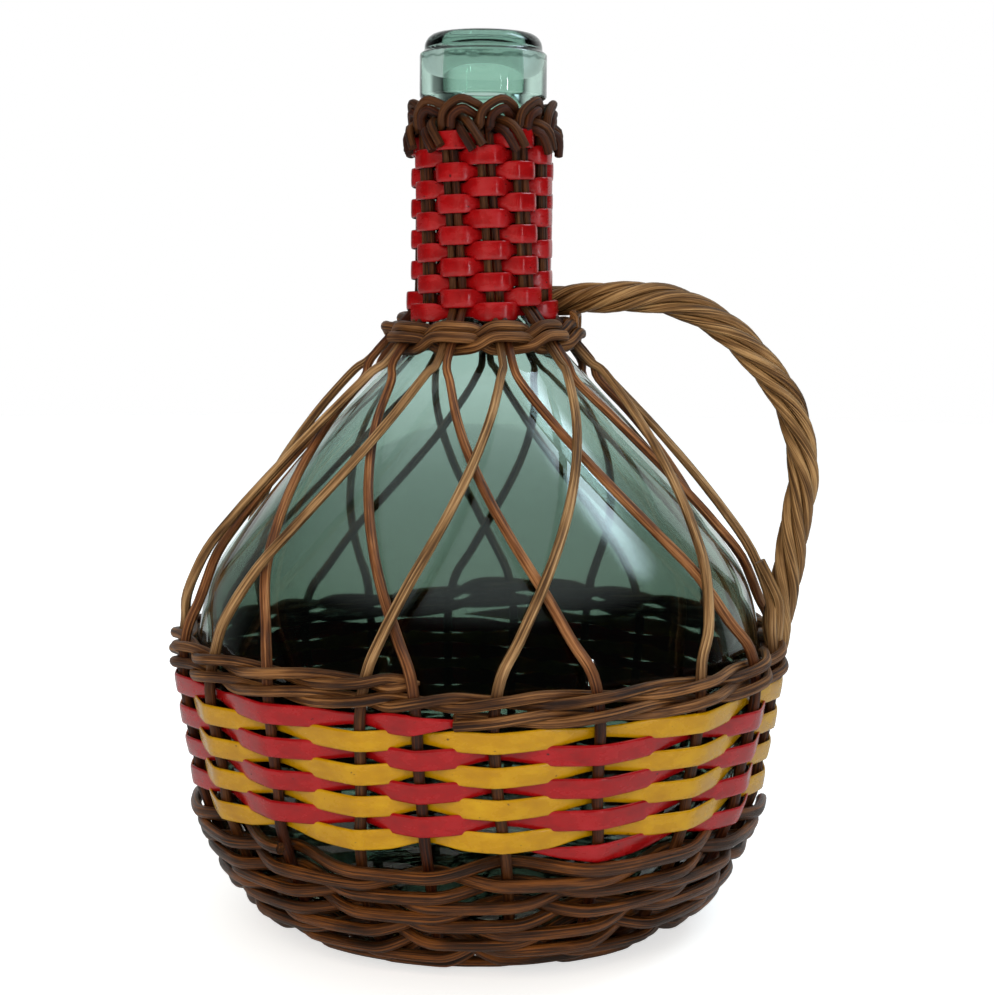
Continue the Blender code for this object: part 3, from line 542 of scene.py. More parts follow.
def weaver_tree():
    """Sweeps a section along a path whose points know their width and outward side."""
    tree = bpy.data.node_groups.new("woven_piece", "GeometryNodeTree")
    for name, kind in (("Geometry", "Geometry"), ("Sides", "Int"), ("Squareness", "Float"),
                       ("Unevenness", "Float"), ("Lump Length", "Float"), ("Seed", "Float"),
                       ("Finish", "Material")):
        tree.interface.new_socket(name, in_out="INPUT", socket_type="NodeSocket" + kind)
    tree.interface.new_socket("Geometry", in_out="OUTPUT", socket_type="NodeSocketGeometry")
    given = node(tree, "NodeGroupInput").outputs
    path = node(tree, "GeometryNodeMeshToCurve", {"Mesh": given["Geometry"]})
    kept = node(tree, "GeometryNodeCaptureAttribute", {"Geometry": path}, domain="POINT")
    wanted = {"middle": ("VECTOR", node(tree, "GeometryNodeInputPosition")),
              "along": ("VECTOR", node(tree, "GeometryNodeInputTangent")),
              "run": ("FLOAT", node(tree, "GeometryNodeSplineParameter").outputs["Length"])}
    for name, kind in PATH_VALUES.items():
        wanted[name] = (kind.split("_")[-1], node(
            tree, "GeometryNodeInputNamedAttribute", {"Name": name}, data_type=kind))
    for name, (kind, source) in wanted.items():
        kept.capture_items.new(kind, name)
        feed(kept, {name: source})
    held = kept.outputs
    section = node(tree, "GeometryNodeCurvePrimitiveCircle", {"Resolution": given["Sides"], "Radius": 1.0})
    corner = node(tree, "GeometryNodeCaptureAttribute", {"Geometry": section}, domain="POINT")
    corner.capture_items.new("VECTOR", "corner")
    feed(corner, {"corner": node(tree, "GeometryNodeInputPosition")})
    swept = node(tree, "GeometryNodeCurveToMesh", {
        "Curve": kept, "Profile Curve": corner, "Scale": SWEEP_SCALE, "Fill Caps": True})

    parts = node(tree, "ShaderNodeSeparateXYZ", {"Vector": corner.outputs["corner"]}).outputs
    reach = {}
    for axis, half in (("X", "half_width"), ("Y", "half_thick")):
        size = node(tree, "ShaderNodeMath", {0: parts[axis]}, operation="ABSOLUTE")
        sign = node(tree, "ShaderNodeMath", {0: parts[axis]}, operation="SIGN")
        for other, operation in (
                (given["Squareness"], "POWER"), (sign, "MULTIPLY"), (held[half], "MULTIPLY")):
            size = node(tree, "ShaderNodeMath", {0: size, 1: other}, operation=operation)
        reach[axis] = size
    side = node(tree, "ShaderNodeVectorMath", {
        0: held["along"], 1: held["outward"]}, operation="CROSS_PRODUCT")
    side = node(tree, "ShaderNodeVectorMath", {0: side}, operation="NORMALIZE")
    up = node(tree, "ShaderNodeVectorMath", {0: side, 1: held["along"]}, operation="CROSS_PRODUCT")
    shape = node(tree, "ShaderNodeVectorMath", {
        0: node(tree, "ShaderNodeVectorMath", {0: side, "Scale": reach["X"]}, operation="SCALE"),
        1: node(tree, "ShaderNodeVectorMath", {0: up, "Scale": reach["Y"]}, operation="SCALE")},
        operation="ADD")
    lump = held["run"]
    for other, operation in ((given["Lump Length"], "DIVIDE"), (given["Seed"], "ADD")):
        lump = node(tree, "ShaderNodeMath", {0: lump, 1: other}, operation=operation)
    spot = node(tree, "ShaderNodeCombineXYZ", {"X": parts["X"], "Y": parts["Y"], "Z": lump})
    swell = node(tree, "ShaderNodeTexNoise", {"Vector": spot, "Scale": 1.0, "Detail": 2.0})
    for other, operation in ((0.5, "SUBTRACT"), (given["Unevenness"], "MULTIPLY"), (1.0, "ADD")):
        swell = node(tree, "ShaderNodeMath", {0: swell, 1: other}, operation=operation)
    shape = node(tree, "ShaderNodeVectorMath", {0: shape, "Scale": swell}, operation="SCALE")
    placed = node(tree, "GeometryNodeSetPosition", {
        "Geometry": swept,
        "Position": node(tree, "ShaderNodeVectorMath", {0: held["middle"], 1: shape}, operation="ADD")})
    run = node(tree, "ShaderNodeMath", {0: held["run"], 1: given["Seed"]}, operation="ADD")
    stored = node(tree, "GeometryNodeStoreNamedAttribute", {
        "Geometry": placed, "Name": "grain",
        "Value": node(tree, "ShaderNodeCombineXYZ", {"X": reach["X"], "Y": reach["Y"], "Z": run})},
        data_type="FLOAT_VECTOR", domain="POINT")
    rounded = node(tree, "GeometryNodeSetShadeSmooth", {"Geometry": stored})
    real = node(tree, "GeometryNodeRealizeInstances", {"Geometry": rounded})
    finished = node(tree, "GeometryNodeSetMaterial", {"Geometry": real, "Material": given["Finish"]})
    node(tree, "NodeGroupOutput", {"Geometry": finished})
    return tree


WEAVER = weaver_tree()
SOCKETS = {item.name: item.identifier for item in WEAVER.interface.items_tree if item.in_out == "INPUT"}
print("tree inputs:", list(SOCKETS))


# %% Turn a path into a finished piece
def finish_piece(name, mesh, replaced):
    """Link a mesh as a piece of the object, riding on the body in place of its solids."""
    mesh.name = name
    check = bmesh.new()
    check.from_mesh(mesh)
    bmesh.ops.recalc_face_normals(check, faces=check.faces)
    check.to_mesh(mesh)
    check.free()
    piece = bpy.data.objects.new(name, mesh)
    scene.collection.objects.link(piece)
    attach(piece, BODY)
    if replaced:
        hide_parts(*replaced)
    return piece


def weave_piece(name, path, finish, slot, replaced, sides=12, squareness=1.0, unevenness=0.0,
                lump_length=12.0 * MM, seed=0.0, closed=False):
    """A woven piece from path rows of (place, outward, half width, half thickness)."""
    mesh = bpy.data.meshes.new(name + "_path")
    edges = [(index, index + 1) for index in range(len(path) - 1)]
    if closed:
        edges.append((len(path) - 1, 0))
    mesh.from_pydata([row[0] for row in path], edges, [])
    for column, (key, kind) in enumerate(PATH_VALUES.items(), 1):
        field = "vector" if kind == "FLOAT_VECTOR" else "value"
        for value, row in zip(mesh.attributes.new(key, kind, "POINT").data, path):
            setattr(value, field, row[column])
    guide = bpy.data.objects.new(name + "_path", mesh)
    scene.collection.objects.link(guide)
    sweep = guide.modifiers.new("sweep", "NODES")
    sweep.node_group = WEAVER
    for key, value in (("Sides", sides), ("Squareness", squareness), ("Unevenness", unevenness),
                       ("Lump Length", lump_length), ("Seed", seed), ("Finish", finish)):
        sweep[SOCKETS[key]] = value
    guide.data.update()
    graph = bpy.context.evaluated_depsgraph_get()
    solid = bpy.data.meshes.new_from_object(guide.evaluated_get(graph), depsgraph=graph)
    guide.modifiers.clear()
    bpy.data.objects.remove(guide)
    return finish_piece(name, solid, replaced)


print("a path row is: place, outward, half width, half thickness")

# %% [markdown]
# Patterns from real sizes
#
# A pattern's scale is how often it repeats in a metre, so it is worked out from the
# size of one patch in millimetres: the width of a fibre, the length of a streak. On
# a woven piece the patches are stretched along its own grain.


# %% Scales, stretched noise and colour ramps
def per_metre(size_mm):
    """How many patches of this size lie in a metre, as a whole number."""
    return round(1000.0 / size_mm)


def grain_noise(tree, width_mm, length_mm, detail, roughness=0.5):
    """Noise in patches of a width across a piece and a length along it."""
    grain = node(tree, "ShaderNodeAttribute", attribute_name="grain").outputs["Vector"]
    patches = node(tree, "ShaderNodeMapping", {
        "Vector": grain, "Scale": (per_metre(width_mm), per_metre(width_mm), per_metre(length_mm))})
    return node(tree, "ShaderNodeTexNoise", {
        "Vector": patches, "Scale": 1.0, "Detail": detail, "Roughness": roughness})


def fill_ramp(ramp, *stops):
    """Give a colour ramp its stops of (position, hex colour), in rising order."""
    marks = ramp.color_ramp.elements
    while len(marks) < len(stops):
        marks.new(1.0)
    for mark, (position, code) in zip(marks, stops):
        mark.position = position
        mark.color = linear(code)


print("patches of 2 mm in a metre:", per_metre(2.0))

# %% [markdown]
# Finish: bare cane
#
# Cane is split or whole rattan, dried and left bare. Long fibres run along it, so
# its colour comes in streaks a millimetre or less wide and centimetres long, and
# its surface has fine grooves the same way, with a weak sheen from handling. It
# keeps its pale colour on the bare shoulder, where the light falls, and is painted
# darker in the weave below the rim and on the neck: painted shade, with some age
# stain. A wood texture would put rings across it, so stretched noise on the piece's
# own grain is used. Real fibres are finer than the streaks here, which are as coarse
# as must be to show.

# %% Cane and willow
STREAK_MM = (0.6667, 33.3)
BLOTCH_MM = (11.1, 29.4)
BLOTCH_SHARE = 0.32
GROOVE_DEPTH = 0.8 * MM
GROOVE_STRENGTH = 0.9
CANE_IOR = 1.38
SHOULDER_LOW_Z = 112.0 * MM
SHOULDER_HIGH_Z = 218.0 * MM
STAIN_AND_SHADE_EDGE = 7.0 * MM
# Darker colour for the cane below the rim and on the neck: painted shade where it lies in the weave and
# under the neck strip, with some age stain.
STAIN_AND_SHADE = "7e6046"


def stained_and_shaded(tree, colour):
    """The colour as it is on the bare shoulder, and darker below and above it: painted shade in the weave
    and on the neck, with some age stain.
    """
    level = node(tree, "ShaderNodeSeparateXYZ", {
        "Vector": node(tree, "ShaderNodeTexCoord").outputs["Object"]}).outputs["Z"]
    rising = node(tree, "ShaderNodeMapRange", {
        "Value": level, "From Min": SHOULDER_LOW_Z - STAIN_AND_SHADE_EDGE, "From Max": SHOULDER_LOW_Z + STAIN_AND_SHADE_EDGE})
    falling = node(tree, "ShaderNodeMapRange", {
        "Value": level, "From Min": SHOULDER_HIGH_Z + STAIN_AND_SHADE_EDGE, "From Max": SHOULDER_HIGH_Z - STAIN_AND_SHADE_EDGE})
    bare = node(tree, "ShaderNodeMath", {0: rising, 1: falling}, operation="MULTIPLY")
    # Painted shade, with some stain: off the bare shoulder the cane's colour is multiplied darker.
    darker = node(tree, "ShaderNodeMix", {
        "Factor": 1.0, "A": colour, "B": linear(STAIN_AND_SHADE)}, data_type="RGBA", blend_type="MULTIPLY")
    return node(tree, "ShaderNodeMix", {"Factor": bare, "A": darker, "B": colour}, data_type="RGBA")


def cane_finish(name, dark, middle, light, roughness, in_basket=False):
    """Bare stem, or one darkened in the weave and on the neck by painted shade with some stain: streaks and
    grooves along its own length.
    """
    made, tree, shader = new_material(name)
    streaks = grain_noise(tree, *STREAK_MM, 4.0, 0.62)
    blotches = grain_noise(tree, *BLOTCH_MM, 3.0, 0.55)
    mixed = node(tree, "ShaderNodeMix", {
        "Factor": BLOTCH_SHARE, "A": streaks, "B": blotches}, data_type="FLOAT")
    colour = node(tree, "ShaderNodeValToRGB", {"Fac": mixed})
    fill_ramp(colour, (0.40, dark), (0.50, middle), (0.60, light))
    feed(shader, {
        "Base Color": stained_and_shaded(tree, colour) if in_basket else colour,
        "Roughness": node(tree, "ShaderNodeMapRange", {
            "Value": streaks, "To Min": roughness - 0.08, "To Max": roughness + 0.14}),
        "Normal": node(tree, "ShaderNodeBump", {
            "Height": streaks, "Strength": GROOVE_STRENGTH, "Distance": GROOVE_DEPTH}),
        "IOR": CANE_IOR})
    return made


CANE = cane_finish("bare_rattan_cane", "4a3018", "8c6840", "c09a6c", 0.50, True)
RED_CANE = cane_finish("red_brown_rattan_cane", "381c0c", "784826", "b07c4e", 0.46, True)
RIM_CANE = cane_finish("weathered_rattan_rim", "221005", "583414", "94663a", 0.48)
HANDLE_CANE = cane_finish("handled_rattan", "3a240e", "7c5a34", "b48e5e", 0.44)
WILLOW = cane_finish("brown_stained_willow", "180b02", "42230a", "7e4818", 0.34)
print("cane finishes:", CANE.name, RED_CANE.name, RIM_CANE.name, HANDLE_CANE.name, WILLOW.name)

# %% [markdown]
# Finish: plastic strip
#
# The strips are extruded soft vinyl, coloured right through. The die leaves fine
# lines along the strip, and years of handling leave dull scuffs, small dark specks
# and faint cloudy patches. The specks are drawn larger than dust, so that they show.

# %% Red and yellow strip
DIE_LINE_MM = (0.6667, 45.5)
CLOUD_MM = (5.88, 11.1)
SPECK_MM = (1.613, 2.38)
SPECK_EDGE = {"From Min": 0.735, "From Max": 0.78}
DIE_LINE_DEPTH = 0.4 * MM
DIE_LINE_STRENGTH = 0.12
CLOUD_DEPTH = 0.8 * MM
CLOUD_STRENGTH = 0.22
SCUFF_EDGE = {"From Min": 0.42, "From Max": 0.68}
SCUFFED_ROUGHER = 0.22
STRIP_IOR = 1.43


def strip_finish(name, colour, deep, worn, speck, roughness):
    """Glossy extruded vinyl strip with die lines, scuffs and specks of dirt."""
    made, tree, shader = new_material(name)
    die = grain_noise(tree, *DIE_LINE_MM, 3.0)
    cloudy = grain_noise(tree, *CLOUD_MM, 5.0, 0.6)
    dirt = grain_noise(tree, *SPECK_MM, 2.0)
    body = node(tree, "ShaderNodeValToRGB", {"Fac": cloudy})
    fill_ramp(body, (0.30, deep), (0.55, colour), (0.74, worn))
    spots = node(tree, "ShaderNodeMapRange", {"Value": dirt, **SPECK_EDGE})
    bump = node(tree, "ShaderNodeBump", {
        "Height": die, "Strength": DIE_LINE_STRENGTH, "Distance": DIE_LINE_DEPTH})
    feed(shader, {
        "Base Color": node(tree, "ShaderNodeMix", {
            "Factor": spots, "A": body, "B": linear(speck)}, data_type="RGBA"),
        "Roughness": node(tree, "ShaderNodeMapRange", {
            "Value": cloudy, **SCUFF_EDGE, "To Min": roughness, "To Max": roughness + SCUFFED_ROUGHER}),
        "Normal": node(tree, "ShaderNodeBump", {
            "Height": cloudy, "Strength": CLOUD_STRENGTH, "Distance": CLOUD_DEPTH, "Normal": bump}),
        "IOR": STRIP_IOR})
    return made


RED = strip_finish("red_vinyl_strip", "9e0c10", "840a0d", "a81c22", "3a0c0c", 0.17)
YELLOW = strip_finish("yellow_vinyl_strip", "bd8c00", "ac7a00", "c89a0c", "5a3a08", 0.20)
print("strip finishes:", RED.name, YELLOW.name)

# %% [markdown]
# The glass
#
# The bottle is mould-blown soda glass, green from iron in the sand. It is an open
# shell: the outside and the inside are both turned, so light bends at four surfaces
# on its way through, as it does in the real one. The outline of the mouth has the
# bore, the flat lip, a rounded bead, a step, the collar and the drop to the neck.

# %% Turn the glass shell
GLASS_WALL = 3.5 * MM
GLASS_BASE = 5.0 * MM
PUSH_UP = 6.0 * MM
PUSH_UP_STEPS = 8
WALL_STOPS = 70
GLASS_SEGMENTS = 128
BEAD_STEPS = 9
EDGE_STEPS = 4
LIP_SOFTER = 1.9 * MM
LIP_DROP = 5.4 * MM
# How far outward and down the inside of the lip runs, from the bore to the flat top.
LIP_INSIDE_MM = ((0.0, 7.2), (0.6, 6.2), (0.9, 2.4), (1.1, 0.2), (1.6, 0.0))
NECK_RINGS_MM = (295.0, 275.0, 255.0)
COLLAR_EDGE = 1.3 * MM
COLLAR_TOP = BOTTLE_Z + COLLAR_HEIGHT + COLLAR_LENGTH


def arc(radius, height, size, start, end, steps, flatten=1.0):
    """Points on an arc about a radius and height, angles in degrees from outward."""
    turns = [math.radians(start + (end - start) * step / steps) for step in range(steps + 1)]
    return [(radius + size * math.cos(t), height + flatten * size * math.sin(t)) for t in turns]


def wall_at(height):
    """Thickness of the glass below the collar."""
    return blend(height, (BOTTLE_Z + 0.12 * BELLY_HEIGHT, GLASS_BASE),
                 (BOTTLE_Z + 0.47 * BELLY_HEIGHT, GLASS_WALL),
                 (BOTTLE_Z + NECK_HEIGHT - 0.28 * SHOULDER_SPAN, GLASS_WALL),
                 (BOTTLE_Z + NECK_HEIGHT, NECK_RADIUS - BORE_RADIUS))


def dome(edge, height, count, steps):
    """Points of the pushed-up base, from its middle out."""
    shares = [step / steps for step in range(count)]
    return [(edge * share, height + PUSH_UP * (1.0 - share * share)) for share in shares]


def glass_profile():
    """The closed outline of the shell, from the inside's middle to the underside's."""
    foot_start = GLASS_LINE.length_at_radius(FOOT_RADIUS)
    run = GLASS_LINE.length_at_height(BOTTLE_Z + NECK_HEIGHT) - foot_start
    lengths = [foot_start + run * stop / WALL_STOPS for stop in range(WALL_STOPS + 1)]
    outer = [GLASS_LINE.at(length) for length in lengths]
    inner = [GLASS_LINE.beside(length, -wall_at(height)) for length, (_, height) in zip(lengths, outer)]
    neck_z = inner[-1][1]
    lip_top = COLLAR_TOP + LIP_HEIGHT
    profile = dome(*inner[0], PUSH_UP_STEPS + 1, PUSH_UP_STEPS) + inner[1:]
    profile += [(BORE_RADIUS, neck_z + share * (lip_top - neck_z)) for share in (0.25, 0.5, 0.75)]
    for out, down in LIP_INSIDE_MM:
        profile.append((BORE_RADIUS + out * MM, lip_top - down * MM))
    bead = LIP_RADIUS - LIP_FLAT_RADIUS + LIP_SOFTER
    profile += reversed(arc(
        LIP_RADIUS - bead, lip_top - LIP_DROP, bead, 0.0, 90.0, BEAD_STEPS, LIP_DROP / bead))
    profile += [(LIP_RADIUS, COLLAR_TOP + 1.3 * MM), (LIP_RADIUS + 0.3 * MM, COLLAR_TOP + 0.5 * MM)]
    inset = COLLAR_RADIUS - COLLAR_EDGE
    collar_low = BOTTLE_Z + COLLAR_HEIGHT
    profile += reversed(arc(inset, COLLAR_TOP - COLLAR_EDGE + 0.2 * MM, COLLAR_EDGE, 0.0, 80.0, EDGE_STEPS))
    profile += reversed(arc(inset, collar_low + COLLAR_EDGE, COLLAR_EDGE, -75.0, 0.0, EDGE_STEPS))
    profile += [(NECK_RADIUS + 0.8 * MM, collar_low - 2.0 * MM), (NECK_RADIUS, collar_low - 4.5 * MM)]
    profile += [(NECK_RADIUS, height * MM) for height in NECK_RINGS_MM]
    profile += reversed(outer)
    profile.append((FOOT_RADIUS - 3.0 * MM, BOTTLE_Z + 0.2 * MM))
    profile += reversed(dome(FOOT_RADIUS - 7.0 * MM, BOTTLE_Z, 7, 7))
    return profile


def turned_mesh(name, profile, segments):
    """A closed mesh turned round Z from a profile that starts and ends on the axis."""
    mesh = bpy.data.meshes.new(name)
    body = bmesh.new()
    rings = []
    for radius, height in profile:
        count = 1 if radius < 0.01 * MM else segments
        rings.append([body.verts.new(place(radius, 360.0 * s / segments, height)) for s in range(count)])
    for before, after in zip(rings, rings[1:]):
        for s in range(segments):
            corners = [before[s % len(before)], before[(s + 1) % segments % len(before)],
                       after[(s + 1) % segments % len(after)], after[s % len(after)]]
            body.faces.new(list(dict.fromkeys(corners))).smooth = True
    body.to_mesh(mesh)
    body.free()
    return mesh


print("the glass has", len(glass_profile()), "rings")

# %% [markdown]
# Finish: green bottle glass
#
# The glass is clear, with slight waves from the mould. Its green deepens with the
# thickness that light has to cross, so the mouth, seen edge on, is the deepest. Its
# colour is also painted darker lower down on the shoulder and palest near its top:
# painted shade of the light that falls from above. The mould's joint is a thin dark
# line at the collar.

# %% Green bottle glass
SEAM_Z = COLLAR_TOP - 1.0 * MM
SEAM_FADE = {"From Min": 0.25 * MM, "From Max": 0.7 * MM, "To Min": 0.75, "To Max": 0.0}
SEAM_STRAY = 3.0 * MM
SEAM_STRAY_MM = 5.26
WAVE_MM = 38.5
WAVE_DEPTH = 1.5 * MM
WAVE_STRENGTH = 0.12
# Heights over which the glass goes from painted shade low on the shoulder to pale near its top.
PAINTED_SHADE_HEIGHTS = {"From Min": 120.0 * MM, "From Max": 310.0 * MM}
EDGE_ON = {"From Min": 0.45, "From Max": 0.95, "To Max": 0.85}
GLASS_IOR = 1.52


def glass_finish():
    """Clear green soda glass with slight waves, deeper green where the mouth is seen edge on, and painted
    shade that darkens it lower down.
    """
    made, tree, shader = new_material("green_soda_glass")
    spot = node(tree, "ShaderNodeTexCoord").outputs["Object"]
    level = node(tree, "ShaderNodeSeparateXYZ", {"Vector": spot}).outputs["Z"]
    # Painted shade: the glass is darker lower down, as if the light falls from above.
    shade_by_height = node(tree, "ShaderNodeMapRange", {"Value": level, **PAINTED_SHADE_HEIGHTS})
    green = node(tree, "ShaderNodeValToRGB", {"Fac": shade_by_height})
    fill_ramp(green, (0.0, "a0b4a6"), (0.25, "b0c4ba"), (0.47, "d3e5df"), (1.0, "c4dfd4"))
    grazing = node(tree, "ShaderNodeMapRange", {
        "Value": node(tree, "ShaderNodeLayerWeight", {"Blend": 0.5}).outputs["Facing"], **EDGE_ON})
    at_mouth = node(tree, "ShaderNodeMapRange", {
        "Value": level, "From Min": BORDER_Z - 10.0 * MM, "From Max": BORDER_Z})
    thick = node(tree, "ShaderNodeMath", {0: grazing, 1: at_mouth}, operation="MULTIPLY")
    green = node(tree, "ShaderNodeMix", {
        "Factor": thick, "A": green, "B": linear("7fb09a")}, data_type="RGBA")
    off = node(tree, "ShaderNodeTexNoise", {
        "Vector": spot, "Scale": per_metre(SEAM_STRAY_MM), "Detail": 2.0})
    for other, operation in (
            (SEAM_STRAY, "MULTIPLY"), (level, "ADD"), (SEAM_Z, "SUBTRACT"), (0.0, "ABSOLUTE")):
        off = node(tree, "ShaderNodeMath", {0: off, 1: other}, operation=operation)
    seam = node(tree, "ShaderNodeMapRange", {"Value": off, **SEAM_FADE})
    waves = node(tree, "ShaderNodeTexNoise", {"Vector": spot, "Scale": per_metre(WAVE_MM), "Detail": 1.0})
    feed(shader, {
        "Base Color": node(tree, "ShaderNodeMix", {
            "Factor": seam, "A": green, "B": linear("35574a")}, data_type="RGBA"),
        "Normal": node(tree, "ShaderNodeBump", {
            "Height": waves, "Strength": WAVE_STRENGTH, "Distance": WAVE_DEPTH}),
        "Roughness": 0.03, "IOR": GLASS_IOR, "Transmission Weight": 1.0})
    return made


glass_mesh = turned_mesh("glass", glass_profile(), GLASS_SEGMENTS)
glass_mesh.materials.append(glass_finish())
glass = finish_piece("glass_shell", glass_mesh, ["glass_bottle"])
print("glass faces:", len(glass.data.polygons))

# %% [markdown]
# The canes
#
# Each cane starts under the edge of the base, climbs the side, crosses the shoulder,
# pairs up under the neck ring and ends in the border round the mouth, where it
# arches over, passes behind the next pair and comes out again with a cut end.

# %% Border at the top of the neck
BORDER_RISE = 10.2 * MM
BORDER_STOPS = [
    (0.00, 0.0, 0.0),
    (0.01, 0.125, 1.25),
    (0.08, 0.66, 1.75),
    (0.42, 1.0, 1.75),
    (0.72, 0.84, 0.19),
    (0.95, 0.625, -1.5),
    (1.29, 0.393, -1.5),
    (1.58, 0.107, 2.75),
    (1.86, -0.58, 3.0),
]


def border_points(pair, side):
    """Top of a cane. A stop is a share of a pair's step and of the rise, and a depth in rod radii."""
    line_radius = NECK_RADIUS + NECK_OFFSET
    flat = [(share * math.radians(PAIR_ANGLE) * line_radius, climbed * BORDER_RISE)
            for share, climbed, _ in BORDER_STOPS]
    shift = -side * PAIR_SPACING / 2.0
    points = []
    for here, back, ahead, (_, _, out) in zip(flat, flat[:1] + flat, flat[1:] + flat[-1:], BORDER_STOPS):
        run = math.dist(back, ahead)
        across, climb = (ahead[0] - back[0]) / run, (ahead[1] - back[1]) / run
        angle = pair_angle(pair, BORDER_Z) + math.degrees((here[0] - climb * shift) / line_radius)
        points.append(place(line_radius + out * NECK_ROD_RADIUS, angle, BORDER_Z + here[1] + across * shift))
    return points


print("a cane's end passes", BORDER_STOPS[-1][0], "pairs")

# %% Twenty-two canes
CANE_STEPS = 4
BORDER_CANE_RADIUS = 1.68 * MM
SLANT_LEAD = 5.0 * MM
SLANT_BOW = 0.22
LEAN = 0.3


def cane_path(index):
    """Path rows of one cane, from the base to its cut end on the neck."""
    goes_left = index % 2 == 0
    side = -1 if goes_left else 1
    pair = int((index - (0 if goes_left else 2 * CROSSING_STEPS)) // 2)
    line = OVER_LINE if goes_left else UNDER_LINE
    top_angle = pair_angle(pair, RING_Z) + side * half_pair(line.points[SHOULDER_KNOT + 1][0])
    turn = turn_between(top_angle, stake_angle(index, line.points[RIM_KNOT][1]))
    slant_start = line.lengths[RIM_KNOT] - SLANT_LEAD
    shoulder = line.lengths[SHOULDER_KNOT + 1] - slant_start
    knots = []
    for knot, (radius, height) in enumerate(line.points[:-1]):
        if knot < RIM_KNOT:
            angle = stake_angle(index, height)
            girth = STAKE_RADIUS
        elif knot <= SHOULDER_KNOT + 1:
            climbed = (line.lengths[knot] - slant_start) / shoulder
            fall = 1.0 - climbed
            angle = top_angle + turn * fall * (1.0 + SLANT_BOW - SLANT_BOW * fall)
            girth = STAKE_RADIUS + climbed * (NECK_ROD_RADIUS - STAKE_RADIUS)
        else:
            angle = pair_angle(pair, height) + side * half_pair(radius)
            girth = NECK_ROD_RADIUS
        knots.append((*place(radius, angle, height), girth))
    for number, point in enumerate(border_points(pair, side)):
        knots.append((*point, BORDER_CANE_RADIUS if number else NECK_ROD_RADIUS))
    return [(Vector((x, y, z)), Vector((x, y, 0.0)).normalized() + LEAN * Vector(UPRIGHT), girth, girth)
            for x, y, z, girth in smooth(knots, CANE_STEPS)]


for index in range(STAKES):
    name = f"stake_{index + 1:02d}"
    weave_piece(name + "_cane", cane_path(index), RED_CANE if index % 2 else CANE, "cane", [name],
                unevenness=0.22, lump_length=14.0 * MM, seed=index * 1.7)
print("canes:", STAKES)

# %% [markdown]
# The weave of the side
#
# The foot is a wale: three willows follow each other, each in front of two canes and
# behind the third, so the rows pack close and hardly any glass shows. The coloured
# band is a plain weave of two strips, each over one cane and under the next. A strip
# is wide and flat where it crosses over a cane, folds there, and is pinched narrow
# where it dives under the next one.

# %% Path of a side weaver
WEAVE_STEPS = 10
SWELL_PER_METRE = 90.0
BROAD_UNTIL = 0.42
NARROW_FROM = 0.94


def side_path(over_at, cycle, overs, first, last, length_at, wide, narrow, thickness, fold,
              jitter=0.0, seed=0):
    """Path rows of a strand over some canes and under the rest of each cycle, from first to last."""
    chance = random.Random(seed)
    nudges = {}

    def at_stake(number):
        radius, height = UNDER_LINE.at(length_at(number))
        here = stake_angle(number, height)
        gap = min(abs(turn_between(here, stake_angle(number + s, height))) for s in (-1, 1))
        bow = weave_offset(thickness, radius * math.radians(gap))
        over = (number - over_at) % cycle < overs
        if number not in nudges:
            nudges[number] = (chance.uniform(-1.0, 1.0) * jitter,
                              1.0 + chance.uniform(-1.0, 1.0) * jitter * SWELL_PER_METRE)
        lift, swell = nudges[number]
        return (bow if over else -bow, (wide if over else narrow) * swell, lift)

    rows = []
    total = int(round((last - first) * WEAVE_STEPS))
    for step in range(total + 1):
        number = first + (last - first) * step / total
        low = math.floor(number)
        share = number - low
        length = length_at(number)
        low_bow, low_width, lift = at_stake(low)
        next_bow, next_width, next_lift = at_stake(low + 1)
        eased = share * share * (3.0 - 2.0 * share)
        bow = low_bow + (eased * (1.0 - fold) + share * fold) * (next_bow - low_bow)
        lift += eased * (next_lift - lift)
        leaving = low_bow >= next_bow
        broad, slim = (low_width, next_width) if leaving else (next_width, low_width)
        narrowing = blend(share if leaving else 1.0 - share, (BROAD_UNTIL, 0.0), (NARROW_FROM, 1.0))
        width = broad + narrowing * (slim - broad)
        angle = angle_between(low, share, UNDER_LINE.at(length)[1])
        radius, height = UNDER_LINE.at(length + lift)
        along = UNDER_LINE.tangent(length)
        out, up = along[1], -along[0]
        rows.append((place(radius + out * bow, angle, height + up * bow), place(out, angle, up),
                     width / 2.0, thickness / 2.0))
    return rows


print("steps between canes:", WEAVE_STEPS)

# %% Willow foot
WALE_STRANDS = 3
WALE_OVERS = 2
WALE_PITCH = 4.35 * MM
WALE_TOP_GAP = 3.4 * MM
WILLOW_WIDE = 5.0 * MM
WILLOW_NARROW = 4.4 * MM
WILLOW_ROUND = 4.1 * MM
WILLOW_FOLD = 0.1
WILLOW_JITTER = 0.5 * MM
WILLOW_START_RADIUS = 63.0 * MM

strips_start = UNDER_LINE.length_at_height(STRIP_START_Z)
willow_start = UNDER_LINE.length_at_radius(WILLOW_START_RADIUS)
wale_climb = WALE_STRANDS * WALE_PITCH
wale_stakes = STAKES * (strips_start - WALE_TOP_GAP - willow_start) / wale_climb
for strand in range(WALE_STRANDS):
    begin = STRIP_START_STAKE + strand * STAKES / WALE_STRANDS
    rows = side_path(
        strand, WALE_STRANDS, WALE_OVERS, begin, begin + wale_stakes,
        lambda number, begin=begin: willow_start + wale_climb * (number - begin) / STAKES,
        WILLOW_WIDE, WILLOW_NARROW, WILLOW_ROUND, WILLOW_FOLD, WILLOW_JITTER, 40 + strand)
    weave_piece("willow_wale_" + "abc"[strand], rows, WILLOW, "willow",
                ["willow_weaver_" + "ab"[strand]] if strand < 2 else [],
                unevenness=0.3, lump_length=17.0 * MM, seed=3.0 + 1.7 * strand)
print("willow rows:", round(WALE_STRANDS * wale_stakes / STAKES))

